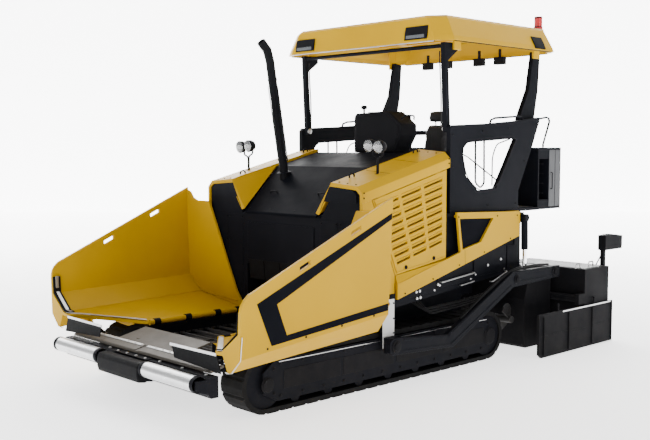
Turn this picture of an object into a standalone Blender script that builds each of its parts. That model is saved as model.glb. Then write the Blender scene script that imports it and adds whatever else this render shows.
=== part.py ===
"""Asphalt paver on tracks, as an assembly of separate parts.

Metres, +Z up. The machine's front (hopper) is toward -Y and its left side toward +X.
The origin is on the ground, under the middle of its length and width.
Wherever a part exists on both sides, the left one is built and the right one is its mirror copy.
"""

import math

import bmesh
import bpy
from mathutils import Matrix, Vector

# ---------------------------------------------------------------- clearances
GAP = 0.0003            # between parts that rest on each other
PIN_GAP = 0.0005        # round a pin, and between the faces of a pivot
RUN_GAP = 0.006         # between parts that move past each other

# ---------------------------------------------------------------- chassis
BODY_X = 1.275          # half width over the grilles
BODY_FRONT_Y = -1.205   # front plane of the engine body, which is also the rear of the hopper
HOPPER_LENGTH = 1.845
WING_REAR_Y = BODY_FRONT_Y - 0.010
WING_FRONT_Y = WING_REAR_Y - HOPPER_LENGTH
TANK_X = BODY_X - 0.075  # outer face of the side tanks
TANK_REAR_Y = 1.605
TANK_FRONT_BOTTOM_Z = 0.73
TANK_REAR_BOTTOM_Z = 1.00
FRAME_X = 0.60          # middle of the long frame plates, under the wing hinges
FRAME_PLATE = 0.06
FRAME_BOTTOM_Z = 0.30
FRAME_FRONT_Y = WING_FRONT_Y + 0.51
FRAME_REAR_Y = 1.20
FLOOR_PLATE = 0.04
TUNNEL_ROOF_Z = 1.20
DECK_Z = 1.735          # top of the operator's platform
DECK_PLATE = 0.035
DECK_X = BODY_X - 0.035
DECK_FRONT_Y = 0.12
DECK_REAR_Y = 1.93

# ---------------------------------------------------------------- tracks
TRACK_X = BODY_X - 0.355  # inner face of a track
TRACK_WIDTH = 0.32
TRACK_HEIGHT = 0.56
TRACK_THICKNESS = 0.05
IDLER_Y = WING_FRONT_Y + 0.34 + TRACK_HEIGHT / 2
SPROCKET_Y = 1.205 - TRACK_HEIGHT / 2
SHOES_PER_RUN = 20      # shoes along the straight ground run
SHOES_PER_BEND = 5
SHOE_GROOVE = 0.014     # depth of the notch between two shoes
GUARD_X = BODY_X - 0.013  # outer face of the plate over the track frame
GUARD_TOP_Z = 0.50

# ---------------------------------------------------------------- hopper
WING_X = BODY_X + 0.355  # outer face of a wing at its lower fold
WING_LEAN = 0.05        # outward lean of the wing's side for each metre of height
WING_SHEET = 0.03
HINGE_Z = TRACK_HEIGHT + 0.06
HINGE_RADIUS = 0.03
WING_FRONT_TOP_Z = HINGE_Z + 0.595
WING_REAR_TOP_Z = HINGE_Z + 1.36
WING_FLOOR_CUT = 0.56   # how far the floor's front edge runs back toward the hinge
CYLINDER_Y = WING_FRONT_Y + 0.245  # plane of the wing cylinders
WING_PIN_X = WING_X - 0.38
WING_PIN_Z = HINGE_Z - 0.045
BASE_PIN_X = FRAME_X + 0.02
BASE_PIN_Z = 0.37
WING_BARREL = 0.034

# ---------------------------------------------------------------- push beam
ROLLER_RADIUS = 0.073
ROLLER_INNER_X = 0.38
ROLLER_LENGTH = 0.85
ROLLER_Z = 0.405
ROLLER_Y = WING_FRONT_Y - 0.132
BEAM_TOP_Z = 0.46
BEAM_BOTTOM_Z = 0.27
BEAM_PIN_Y = WING_FRONT_Y + 0.13
BEAM_PIN_RADIUS = 0.03
NOSE_TOP_Z = 0.42

# ---------------------------------------------------------------- engine covers
COVER_RISE = 0.25       # rise of the cover's edges for each metre toward the rear
COVER_SHEET = 0.04
COVER_EDGE_Z = 1.90     # lower edge of the cover's side, at the body front
COVER_BEND_Z = 2.00
COVER_TOP_X = BODY_X - 0.075
COVER_TOP_Z = 2.07
COVER_INNER_X = 0.82
COVER_INNER_Z = 2.10
SHOULDER_TIP_X = 0.59
SHOULDER_TIP_Z = 1.77
SHOULDER_LENGTH = 0.69
COVER_REAR_Y = 0.165
HOOD_SHEET = 0.03
GRILLE_REAR_Y = 0.105
GRILLE_BOTTOM_REAR_Z = 1.253
GRILLE_BOTTOM_FRONT_Z = 1.142
GRILLE_BOTTOM_FRONT_Y = -0.716
GRILLE_TOP_FRONT_Y = -1.06
GRILLE_SHEET = 0.03
LOUVRE_ROWS = 9
LOUVRE_HEIGHT = 0.042
SIDE_COVER_X = BODY_X + 0.035
SIDE_COVER_SHEET = 0.03
SIDE_COVER_SLOPE = 0.247  # rise of the band for each metre toward the rear
SIDE_COVER_LOW_Z = DECK_Z - 0.848  # lower and upper edge of the band, at its front end
SIDE_COVER_HIGH_Z = DECK_Z - 0.686
SIDE_COVER_POST_Y = 0.255
SIDE_COVER_REAR_Y = 1.44

# ---------------------------------------------------------------- roof
SIDE_FRAME_X = DECK_X - 0.06
SIDE_FRAME_PLATE = 0.055
LINK_OUT_X = SIDE_FRAME_X - 0.02  # outer face of the roof's arms and posts
LINK_PLATE = 0.06
LINK_PIN_Z = DECK_Z + 0.93
LINK_RISE = 0.91
LINK_LEAN = 0.11
ROOF_X = LINK_OUT_X + 0.18
ROOF_FRONT_Y = 0.015
ROOF_REAR_Y = 2.20
ROOF_EDGE_Z = LINK_PIN_Z + LINK_RISE + 0.04
ROOF_TOP_Z = ROOF_EDGE_Z + 0.285
ROOF_INSET = 0.13       # how far the top edge lies inside the lower edge, at the sides
ROOF_SKIN = 0.035
ROOF_CORNER = 0.15
ROOF_TOP_CORNER = 0.08
ROOF_FRONT_CUT_X = 0.18
ROOF_FRONT_CUT_Y = 0.12
ARM_PIN_Y = 1.80
POST_PIN_Y = 0.275
POST_TOP_Y = 0.225
POST_WIDTH = 0.065

# ---------------------------------------------------------------- platform
SEAT_X = 0.36
SEAT_Y = 0.82
SEAT_TRAVEL = 0.40      # how far a seat slides outward
SEAT_BASE_TOP_Z = DECK_Z + 0.365
SEAT_WIDTH = 0.46
SEAT_DEPTH = 0.50
SEAT_TOP_Z = DECK_Z + 1.205
CONSOLE_Y = 0.27
CONSOLE_DEPTH = 0.28
CONSOLE_TOP_Z = DECK_Z + 1.145
LOCKER_OUT_X = DECK_X - 0.02
LOCKER_WIDTH = 0.42
LOCKER_DEPTH = 0.50
LOCKER_BOTTOM_Z = DECK_Z - DECK_PLATE
LOCKER_TOP_Z = LOCKER_BOTTOM_Z + 0.76
LOCKER_SHEET = 0.025
EXHAUST_X = -0.50
EXHAUST_Y = -0.685
EXHAUST_RADIUS = 0.05
EXHAUST_TOP_Z = 3.65
EXHAUST_WALL = 0.008

# ---------------------------------------------------------------- screed
TOW_PIN_Y = -0.855
TOW_PIN_Z = 0.43
TOW_PIN_RADIUS = 0.03
TOW_GUIDE_X = BODY_X + 0.005
TOW_ARM_X = TOW_GUIDE_X + 0.09
TOW_ARM_PLATE = 0.06
AUGER_Y = 1.43
AUGER_Z = 0.40
AUGER_RADIUS = 0.19
AUGER_SHAFT = 0.045
AUGER_PITCH = 0.32
AUGER_FLIGHT = 0.012
AUGER_IN_X = 0.07
SCREED_X = BODY_X - 0.035
AUGER_OUT_X = SCREED_X - 0.02
SCREED_FRONT_Y = 1.66
SCREED_REAR_Y = 2.22
SCREED_TOP_Z = 0.98
SCREED_SOLE_Z = 0.02
EXTENSION_OUT = 0.40    # how far the extensions stand out
EXTENSION_GAP = 0.14    # between the main screed and the extensions
EXTENSION_REAR_Y = 2.92
TUBE_RADIUS = 0.045
TUBE_Z = {1: 0.60, -1: 0.42}
GATE_SHEET = 0.03
GATE_GAP = GAP          # between an end gate and its extension
GATE_FRONT_Y = 1.335
GATE_REAR_Y = 2.98
GATE_TOP_Z = 0.52
GATE_BOTTOM_Z = 0.004
LIFT_X = TOW_ARM_X - 0.05
LIFT_TOP_Y = SIDE_COVER_REAR_Y + 0.075
LIFT_TOP_Z = DECK_Z - 0.105
LIFT_PIN_Y = LIFT_TOP_Y + 0.02
LIFT_PIN_Z = 0.96
LIFT_BARREL = 0.042
CONTROL_REAR_Y = 3.265
CONTROL_LENGTH = 0.42

SIDES = {"left": 1, "right": -1}


# ================================================================ tools
def start_empty():
    """Remove whatever the scene holds."""
    for thing in list(bpy.data.objects):
        bpy.data.objects.remove(thing)


def look(name, colour, roughness, metallic):
    """A plain Principled material."""
    material = bpy.data.materials.new(name)
    material.use_nodes = True
    shader = material.node_tree.nodes["Principled BSDF"]
    shader.inputs["Base Color"].default_value = (*colour, 1.0)
    shader.inputs["Roughness"].default_value = roughness
    shader.inputs["Metallic"].default_value = metallic
    return material


def outward(shape):
    """Turn a closed shape's faces outward."""
    bmesh.ops.recalc_face_normals(shape, faces=shape.faces)
    if shape.calc_volume(signed=True) < 0:
        bmesh.ops.reverse_faces(shape, faces=shape.faces)
    return shape


def loft(sections):
    """A closed shape through loops of points that have the same number of points."""
    shape = bmesh.new()
    rings = [[shape.verts.new(point) for point in section] for section in sections]
    count = len(rings[0])
    for ring, following in zip(rings, rings[1:]):
        for i in range(count):
            j = (i + 1) % count
            shape.faces.new((ring[i], ring[j], following[j], following[i]))
    shape.faces.new(rings[0])
    shape.faces.new(rings[-1])
    return outward(shape)


def prism(axis, outline, low, high):
    """An outline in the other two axes (in the order X, Y, Z), extruded along one axis."""
    place = {
        "x": lambda a, b, t: (t, a, b),
        "y": lambda a, b, t: (a, t, b),
        "z": lambda a, b, t: (a, b, t),
    }[axis]
    return loft([[place(a, b, t) for a, b in outline] for t in (low, high)])


def box(x, y, z):
    """A box from three (low, high) pairs."""
    outline = [(x[0], y[0]), (x[1], y[0]), (x[1], y[1]), (x[0], y[1])]
    return prism("z", outline, z[0], z[1])


def circle_frame(direction):
    """Two unit vectors across a direction."""
    along = Vector(direction).normalized()
    across = along.orthogonal().normalized()
    return across, along.cross(across)


def rod(start, end, radius, segments=16):
    """A solid cylinder between two points."""
    start, end = Vector(start), Vector(end)
    across, up = circle_frame(end - start)
    angles = [2 * math.pi * i / segments for i in range(segments)]
    ring = [radius * (across * math.cos(a) + up * math.sin(a)) for a in angles]
    return loft([[start + r for r in ring], [end + r for r in ring]])


def pipe(points, radius, segments=8):
    """A round bar along a bent route, mitred at its corners."""
    points = [Vector(p) for p in points]
    across, up = circle_frame(points[1] - points[0])
    sections = []
    for i, point in enumerate(points):
        before = (point - points[i - 1]).normalized() if i else None
        after = (points[i + 1] - point).normalized() if i + 1 < len(points) else None
        along = (before or after) if not (before and after) else (before + after).normalized()
        side = (across - along * across.dot(along)).normalized()
        top = along.cross(side)
        stretch = 1.0 if not (before and after) else 1.0 / max(0.5, along.dot(after))
        ring = []
        for k in range(segments):
            angle = 2 * math.pi * k / segments
            ring.append(point + radius * stretch * (side * math.cos(angle) + top * math.sin(angle)))
        sections.append(ring)
        across = side
    return loft(sections)


def hull(points):
    """The convex solid round a few points."""
    shape = bmesh.new()
    for point in points:
        shape.verts.new(point)
    result = bmesh.ops.convex_hull(shape, input=shape.verts)
    loose = [v for v in result["geom_interior"] if isinstance(v, bmesh.types.BMVert)]
    bmesh.ops.delete(shape, geom=loose, context="VERTS")
    return outward(shape)


def as_object(shapes, name):
    """One object that holds all the given shapes."""
    mesh = bpy.data.meshes.new(name)
    joined = bmesh.new()
    for shape in shapes:
        piece = bpy.data.meshes.new("piece")
        shape.to_mesh(piece)
        shape.free()
        joined.from_mesh(piece)
        bpy.data.meshes.remove(piece)
    joined.to_mesh(mesh)
    joined.free()
    thing = bpy.data.objects.new(name, mesh)
    bpy.context.scene.collection.objects.link(thing)
    return thing


def apply_boolean(thing, shapes, operation):
    """Join the shapes to an object, or cut them from it."""
    other = as_object(shapes, "operand")
    modifier = thing.modifiers.new("boolean", "BOOLEAN")
    modifier.operation = operation
    modifier.solver = "EXACT"
    modifier.use_self = True
    modifier.object = other
    bpy.context.view_layer.update()
    result = bpy.data.meshes.new_from_object(
        thing.evaluated_get(bpy.context.evaluated_depsgraph_get())
    )
    thing.modifiers.clear()
    old = thing.data
    thing.data = result
    bpy.data.meshes.remove(old)
    bpy.data.objects.remove(other)


def part(name, material, shapes, cuts=(), pivot=(0.0, 0.0, 0.0)):
    """One named part: its shapes joined, its cuts taken out, its origin at the pivot."""
    thing = as_object(shapes[:1], name)
    if len(shapes) > 1:
        apply_boolean(thing, shapes[1:], "UNION")
    if cuts:
        apply_boolean(thing, list(cuts), "DIFFERENCE")
    thing.name = name
    thing.data.name = name
    thing.data.materials.clear()
    thing.data.materials.append(material)
    thing.data.transform(Matrix.Translation(-Vector(pivot)))
    thing.location = pivot
    thing.data.shade_smooth()
    thing.data.set_sharp_from_angle(angle=math.radians(30))
    return thing


def mirror_to_right(thing, name):
    """The right-hand copy of a left-hand part."""
    mesh = thing.data.copy()
    mesh.transform(Matrix.Scale(-1, 4, (1, 0, 0)))
    mesh.flip_normals()
    copy = bpy.data.objects.new(name, mesh)
    copy.location = (-thing.location.x, thing.location.y, thing.location.z)
    bpy.context.scene.collection.objects.link(copy)
    return copy


def pair(stem, material, shapes, cuts=(), pivot=(0.0, 0.0, 0.0)):
    """A left-hand part and its mirror copy."""
    left = part(f"{stem}_left", material, shapes, cuts, pivot)
    return left, mirror_to_right(left, f"{stem}_right")


def between(a, b, t):
    """The value a share t of the way from a to b."""
    return a + (b - a) * t


# ================================================================ chassis
def tank_bottom(y):
    """Height of the side tank's underside."""
    front = BODY_FRONT_Y + FRAME_PLATE
    return between(TANK_FRONT_BOTTOM_Z, TANK_REAR_BOTTOM_Z, (y - front) / (TANK_REAR_Y - front))


def side_plate(side):
    """One long frame plate: low under the hopper, high beside the tunnel."""
    low_top = HINGE_Z - HINGE_RADIUS - GAP
    rear_of_wings = BODY_FRONT_Y + FRAME_PLATE
    outline = [
        (FRAME_FRONT_Y, FRAME_BOTTOM_Z),
        (FRAME_REAR_Y, FRAME_BOTTOM_Z),
        (FRAME_REAR_Y, TUNNEL_ROOF_Z),
        (rear_of_wings, TUNNEL_ROOF_Z),
        (rear_of_wings, low_top),
        (FRAME_FRONT_Y, low_top),
    ]
    middle = side * FRAME_X
    return prism("x", outline, middle - FRAME_PLATE / 2, middle + FRAME_PLATE / 2)


def side_tank(side):
    """The tank that fills one side of the body, under the platform and the grille."""
    front = BODY_FRONT_Y + FRAME_PLATE
    top = DECK_Z - DECK_PLATE - GAP
    outline = [
        (front, tank_bottom(front)),
        (TANK_REAR_Y, TANK_REAR_BOTTOM_Z),
        (TANK_REAR_Y, top),
        (front, top),
    ]
    return prism("x", outline, *sorted((side * FRAME_X, side * TANK_X)))


def tow_guide(side):
    """The upright guide of one tow point, with the bracket that holds it to the tank."""
    guide = box(
        sorted((side * TOW_GUIDE_X, side * (TOW_GUIDE_X + 0.03))),
        (TOW_PIN_Y - 0.09, TOW_PIN_Y + 0.09),
        (TOW_PIN_Z - 0.03, TOW_PIN_Z + 0.48),
    )
    bracket_z = tank_bottom(TOW_PIN_Y) + 0.02
    bracket = box(
        sorted((side * (TANK_X - 0.05), side * (TOW_GUIDE_X + 0.01))),
        (TOW_PIN_Y - 0.06, TOW_PIN_Y + 0.06),
        (bracket_z, TOW_PIN_Z + 0.46),
    )
    return [guide, bracket]


def lift_bracket(side):
    """The lug on the tank that carries one screed lift cylinder."""
    return box(
        sorted((side * (TANK_X - 0.05), side * (LIFT_X - LIFT_BARREL - PIN_GAP))),
        (LIFT_TOP_Y - 0.05, LIFT_TOP_Y + 0.05),
        (LIFT_TOP_Z - 0.06, LIFT_TOP_Z + 0.06),
    )


def auger_carrier():
    """The beam across the rear that holds the auger's middle bearing."""
    beam_z = (AUGER_Z + AUGER_RADIUS + 0.06, TUNNEL_ROOF_Z - 0.30)
    beam = box((-FRAME_X, FRAME_X), (FRAME_REAR_Y - 0.05, AUGER_Y + 0.04), beam_z)
    bearing = box(
        (-AUGER_IN_X + PIN_GAP, AUGER_IN_X - PIN_GAP),
        (AUGER_Y - 0.06, AUGER_Y + 0.04),
        (AUGER_Z - 0.08, beam_z[0] + 0.02),
    )
    return [beam, bearing]


def front_nose():
    """The low bracket ahead of the frame: it carries the push beam and the wing cylinders."""
    plate = box(
        (-FRAME_X + 0.035, FRAME_X - 0.035),
        (CYLINDER_Y - 0.08, FRAME_FRONT_Y + 0.024),
        (FRAME_BOTTOM_Z + 0.02, NOSE_TOP_Z - 0.02),
    )
    tongue = box((-0.12, 0.12), (BEAM_PIN_Y - 0.06, FRAME_FRONT_Y), (FRAME_BOTTOM_Z + 0.03, NOSE_TOP_Z))
    pin = rod((0, BEAM_PIN_Y, NOSE_TOP_Z - 0.03), (0, BEAM_PIN_Y, BEAM_TOP_Z + 0.01), BEAM_PIN_RADIUS, 20)
    shapes = [plate, tongue, pin]
    for side in SIDES.values():
        face = CYLINDER_Y - WING_BARREL - PIN_GAP
        ends = sorted((side * (FRAME_X - 0.06), side * (BASE_PIN_X + 0.045)))
        shapes.append(box(ends, (CYLINDER_Y - 0.08, face), (0.325, 0.415)))
    return shapes


def build_main_frame(material):
    """Frame plates, tunnel, side tanks, cross beams and the brackets welded to them."""
    inner = FRAME_X - FRAME_PLATE / 2
    overlap = 0.01
    floor = box(
        (-inner - overlap, inner + overlap),
        (FRAME_FRONT_Y + 0.005, FRAME_REAR_Y - 0.02),
        (FRAME_BOTTOM_Z + 0.01, FRAME_BOTTOM_Z + 0.01 + FLOOR_PLATE),
    )
    roof = box(
        (-inner - overlap, inner + overlap),
        (BODY_FRONT_Y + 2 * FRAME_PLATE, FRAME_REAR_Y - 0.02),
        (TUNNEL_ROOF_Z - FLOOR_PLATE - overlap, TUNNEL_ROOF_Z - overlap),
    )
    shapes = [floor, roof]
    for side in SIDES.values():
        shapes += [side_plate(side), side_tank(side), lift_bracket(side)]
        shapes += tow_guide(side)
        for y in (IDLER_Y + 0.55, SPROCKET_Y - 0.40):
            ends = sorted((side * FRAME_X, side * (TRACK_X - GAP)))
            shapes.append(box(ends, (y - 0.10, y + 0.10), (0.20, 0.36)))
    rear_housing = box(
        (-FRAME_X - 0.02, FRAME_X + 0.02),
        (FRAME_REAR_Y - 0.25, TANK_REAR_Y - 0.01),
        (TUNNEL_ROOF_Z - 0.03, DECK_Z - DECK_PLATE - GAP - 0.01),
    )
    shapes += [rear_housing] + auger_carrier() + front_nose()
    return part("main_frame", material, shapes)


def build_engine(material):
    """The engine as one plain block on the tunnel's roof."""
    x = FRAME_X - 0.15
    base = TUNNEL_ROOF_Z - 0.01 + GAP
    block = box((-x, x), (BODY_FRONT_Y + 0.30, DECK_FRONT_Y - 0.20), (base, base + 0.46))
    return part("engine_block", material, [block])


def build_conveyor(material):
    """The slatted conveyor floor, from the hopper through the tunnel to the augers."""
    half = FRAME_X - FRAME_PLATE / 2 - RUN_GAP
    base = FRAME_BOTTOM_Z + 0.01 + FLOOR_PLATE + GAP
    top = base + 0.09
    front = FRAME_FRONT_Y + 0.03
    rear = FRAME_REAR_Y - 0.03
    slats = 13
    pitch = (rear - front - 0.06) / (slats - 1)
    outline = [(rear, base), (rear, top)]
    for i in reversed(range(slats)):
        y = front + 0.03 + i * pitch
        outline += [(y + 0.02, top), (y + 0.02, top + 0.025), (y - 0.02, top + 0.025), (y - 0.02, top)]
    outline += [(front, top), (front, base)]
    return part("conveyor", material, [prism("x", outline, -half, half)])


# ================================================================ tracks
def track_outline(inset, grooved):
    """The track's loop in Y and Z; its outside has a notch between shoes."""
    middle_z = TRACK_HEIGHT / 2
    radius = middle_z - inset
    run = SPROCKET_Y - IDLER_Y
    pitch = run / SHOES_PER_RUN
    notch = 0.12
    points = []

    def add_run(start, step, z, inward):
        for i in range(SHOES_PER_RUN):
            for share, depth in ((0.0, 1.0), (notch, 0.0), (1 - notch, 0.0), (1.0, 1.0)):
                points.append((start + step * (i + share), z + inward * depth * SHOE_GROOVE))

    def add_bend(centre, first):
        for i in range(SHOES_PER_BEND):
            for share, depth in ((0.0, 1.0), (notch, 0.0), (0.5, 0.0), (1 - notch, 0.0), (1.0, 1.0)):
                angle = math.radians(first + 180 * (i + share) / SHOES_PER_BEND)
                reach = radius - depth * SHOE_GROOVE
                points.append((centre + reach * math.cos(angle), middle_z + reach * math.sin(angle)))

    if grooved:
        add_run(IDLER_Y, pitch, middle_z - radius, 1)
        add_bend(SPROCKET_Y, -90)
        add_run(SPROCKET_Y, -pitch, middle_z + radius, -1)
        add_bend(IDLER_Y, 90)
        cleaned = []
        for point in points:
            if not cleaned or math.dist(point, cleaned[-1]) > 1e-6:
                cleaned.append(point)
        if math.dist(cleaned[0], cleaned[-1]) < 1e-6:
            cleaned.pop()
        return cleaned
    steps = 16
    for centre, first in ((SPROCKET_Y, -90), (IDLER_Y, 90)):
        for i in range(steps + 1):
            angle = math.radians(first + 180 * i / steps)
            points.append((centre + radius * math.cos(angle), middle_z + radius * math.sin(angle)))
    return points


def build_tracks(material):
    """Each track is one closed loop of shoes."""
    outer = prism("x", track_outline(0.0, True), TRACK_X, TRACK_X + TRACK_WIDTH)
    inner = prism("x", track_outline(TRACK_THICKNESS, False), TRACK_X - 0.05, TRACK_X + TRACK_WIDTH + 0.05)
    return pair("track", material, [outer], [inner])


def build_track_frames(material):
    """Each track frame with its idler, sprocket, rollers and outer guard plate."""
    middle_z = TRACK_HEIGHT / 2
    wheel = middle_z - TRACK_THICKNESS - GAP
    low, high = TRACK_X + 0.02, TRACK_X + TRACK_WIDTH - 0.02
    beam = box((TRACK_X, TRACK_X + TRACK_WIDTH), (IDLER_Y + 0.15, SPROCKET_Y - 0.15), (0.15, 0.42))
    shapes = [beam]
    for y in (IDLER_Y, SPROCKET_Y):
        shapes.append(rod((low, y, middle_z), (high, y, middle_z), wheel, 32))
    rollers = 7
    roller_radius = 0.06
    roller_z = TRACK_THICKNESS + GAP + roller_radius
    for i in range(rollers):
        y = between(IDLER_Y + 0.38, SPROCKET_Y - 0.38, i / (rollers - 1))
        shapes.append(rod((low, y, roller_z), (high, y, roller_z), roller_radius, 16))
    guard = [
        (IDLER_Y - 0.05, 0.20),
        (IDLER_Y + 0.12, 0.11),
        (SPROCKET_Y - 0.05, 0.11),
        (SPROCKET_Y + 0.10, 0.20),
        (SPROCKET_Y + 0.10, 0.38),
        (SPROCKET_Y - 0.05, GUARD_TOP_Z),
        (IDLER_Y + 0.10, GUARD_TOP_Z),
        (IDLER_Y - 0.05, 0.40),
    ]
    face = TRACK_X + TRACK_WIDTH + GAP
    shapes.append(prism("x", guard, face, GUARD_X))
    shapes.append(box((high - 0.05, face + 0.01), (IDLER_Y + 0.2, SPROCKET_Y - 0.2), (0.17, 0.40)))
    return pair("track_frame", material, shapes)


# ================================================================ hopper
def wing_outer_x(z):
    """Outer face of a wing's side at a height."""
    return WING_X + WING_LEAN * (z - HINGE_Z - 0.04)


def wing_section(y, top_z):
    """The wing's bent sheet, cut across at one station: floor, bevel, side and lower skirt."""
    share = (y - WING_FRONT_Y) / HOPPER_LENGTH
    bend_x = WING_X - 0.25
    cut = min(1.0, (y - WING_FRONT_Y) / WING_FLOOR_CUT)
    floor_edge = between(bend_x - 0.08, FRAME_X, cut)
    rise = 0.05 * share
    floor_z = HINGE_Z + 0.08 + rise
    skirt_z = HINGE_Z + between(-0.09, 0.03, share)
    fold_z = HINGE_Z + between(0.04, 0.22, share)
    floor_top = between(HINGE_Z + 0.012, floor_z, (floor_edge - FRAME_X) / (bend_x - FRAME_X))
    floor_low = floor_top - WING_SHEET
    bend_z = floor_z + 0.18
    points = [
        (floor_edge, floor_top),
        (bend_x, floor_z),
        (wing_outer_x(bend_z) - WING_SHEET, bend_z),
        (wing_outer_x(top_z) - WING_SHEET, top_z),
        (wing_outer_x(top_z), top_z),
        (wing_outer_x(fold_z), fold_z),
        (bend_x + 0.12, skirt_z),
        (bend_x + 0.085, skirt_z),
        (bend_x + 0.02, floor_z - WING_SHEET),
        (floor_edge, floor_low),
    ]
    return [(x, y, z) for x, z in points]


def wing_stations():
    """Stations from front to rear, with the height of the top edge; the front corner is round."""
    front = WING_FRONT_Y
    corner = [(0.0, 0.145), (0.012, 0.09), (0.04, 0.045), (0.09, 0.0)]
    stations = [(front + step, WING_FRONT_TOP_Z - drop) for step, drop in corner]
    for y in (front + WING_FLOOR_CUT, WING_REAR_Y):
        share = (y - stations[3][0]) / (WING_REAR_Y - stations[3][0])
        stations.append((y, between(WING_FRONT_TOP_Z, WING_REAR_TOP_Z, share)))
    return stations


def wing_slot(share):
    """A hand slot through the wing's side, along the top edge, at a share of its length."""
    front, rear = wing_stations()[3], wing_stations()[-1]
    length = 0.065
    slope = (rear[1] - front[1]) / (rear[0] - front[0])
    y = between(front[0], rear[0], share)
    z = between(front[1], rear[1], share) - 0.075
    outline = []
    for dy, dz in ((-length, -0.025), (length, -0.025), (length, 0.02), (-length, 0.02)):
        outline.append((y + dy, z + dz + slope * dy))
    return prism("x", outline, WING_X - 0.10, WING_X + 0.15)


def build_wings(material):
    """The two tipping wings of the hopper, each on its round hinge bar."""
    sheet = loft([wing_section(y, z) for y, z in wing_stations()])
    rear = WING_REAR_Y
    top_z = WING_REAR_TOP_Z
    wall = [
        (FRAME_X + 0.01, HINGE_Z - 0.01),
        (WING_X - 0.21, HINGE_Z + 0.08),
        (wing_outer_x(HINGE_Z + 0.28) - 0.01, HINGE_Z + 0.24),
        (wing_outer_x(top_z) - 0.01, top_z - 0.02),
        (WING_X - 0.03, top_z - 0.05),
        (WING_X - 0.09, top_z - 0.12),
        (WING_X - 0.17, top_z - 0.15),
        (WING_X - 0.41, top_z - 0.15),
        (FRAME_X + 0.11, HINGE_Z + 0.20),
        (FRAME_X + 0.01, HINGE_Z + 0.08),
    ]
    shapes = [sheet, prism("y", wall, rear - 0.025, rear - 0.001)]
    hinge_front = WING_FRONT_Y + WING_FLOOR_CUT + 0.01
    shapes.append(rod((FRAME_X, hinge_front, HINGE_Z), (FRAME_X, rear - 0.002, HINGE_Z), HINGE_RADIUS, 16))
    lug = [
        (WING_PIN_X - 0.06, HINGE_Z + 0.07),
        (WING_PIN_X - 0.035, WING_PIN_Z - 0.03),
        (WING_PIN_X + 0.035, WING_PIN_Z - 0.03),
        (WING_PIN_X + 0.06, HINGE_Z + 0.07),
    ]
    shapes.append(prism("y", lug, CYLINDER_Y - 0.055, CYLINDER_Y - 0.02))
    cuts = [wing_slot(0.36), wing_slot(0.72)]
    return pair("hopper_wing", material, shapes, cuts, (FRAME_X, 0.0, HINGE_Z))


def cylinder_barrel(base, tip, plane, length, radius, bore, eye, axis):
    """A hydraulic barrel from its eye toward its rod's eye, bored from the open end."""
    base, tip = Vector(base), Vector(tip)
    along = (tip - base).normalized()
    body = rod(base + along * eye * 0.5, base + along * length, radius, 20)
    hole = rod(base + along * (eye + 0.03), base + along * (length + 0.05), bore, 20)
    ring = rod(base + Vector(axis) * plane[0], base + Vector(axis) * plane[1], eye, 20)
    return [body, ring], [hole]


def cylinder_rod(base, tip, plane, inside, radius, eye, axis):
    """A piston rod that starts inside the barrel and ends in its eye."""
    base, tip = Vector(base), Vector(tip)
    along = (tip - base).normalized()
    bar = rod(base + along * inside, tip - along * eye * 0.3, radius, 20)
    ring = rod(tip + Vector(axis) * plane[0], tip + Vector(axis) * plane[1], eye, 20)
    return [bar, ring]


def build_wing_cylinders(barrel_look, rod_look):
    """The cylinders that tip the wings, under the front of the hopper."""
    base = (BASE_PIN_X, CYLINDER_Y, BASE_PIN_Z)
    tip = (WING_PIN_X, CYLINDER_Y, WING_PIN_Z)
    plane = (-0.02 + PIN_GAP, 0.02)
    ring = (-WING_BARREL, WING_BARREL)
    shapes, cuts = cylinder_barrel(base, tip, ring, 0.50, WING_BARREL, 0.0205, 0.036, (0, 1, 0))
    pair("wing_cylinder", barrel_look, shapes, cuts, base)
    shapes = cylinder_rod(base, tip, plane, 0.27, 0.020, 0.032, (0, 1, 0))
    pair("wing_rod", rod_look, shapes, (), tip)


def build_front_apron(material):
    """The sloping sheet that closes the hopper's front between the wings."""
    rear_y, front_y = FRAME_FRONT_Y - 0.01, WING_FRONT_Y + 0.02
    rear_z, front_z = HINGE_Z - 0.025, HINGE_Z - 0.125
    sheet = 0.02
    narrow = FRAME_X - FRAME_PLATE / 2 - RUN_GAP
    wide = FRAME_X + 0.60
    strip_y = CYLINDER_Y - 0.075

    def height(y):
        return between(rear_z, front_z, (y - rear_y) / (front_y - rear_y))

    def strip(half, low_y, high_y):
        points = [(-half, low_y), (half, low_y), (half, high_y), (-half, high_y)]
        return loft([[(x, y, height(y) - drop) for x, y in points] for drop in (0.0, sheet)])

    shapes = [strip(narrow, front_y + 0.05, rear_y), strip(wide, front_y, strip_y)]
    strut_z = (NOSE_TOP_Z - 0.02 + GAP, height(FRAME_FRONT_Y - 0.2) - 0.01)
    for x in (-0.30, 0.30):
        shapes.append(box((x - 0.02, x + 0.02), (CYLINDER_Y - 0.015, FRAME_FRONT_Y - 0.05), strut_z))
    return part("front_apron", material, shapes)


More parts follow.
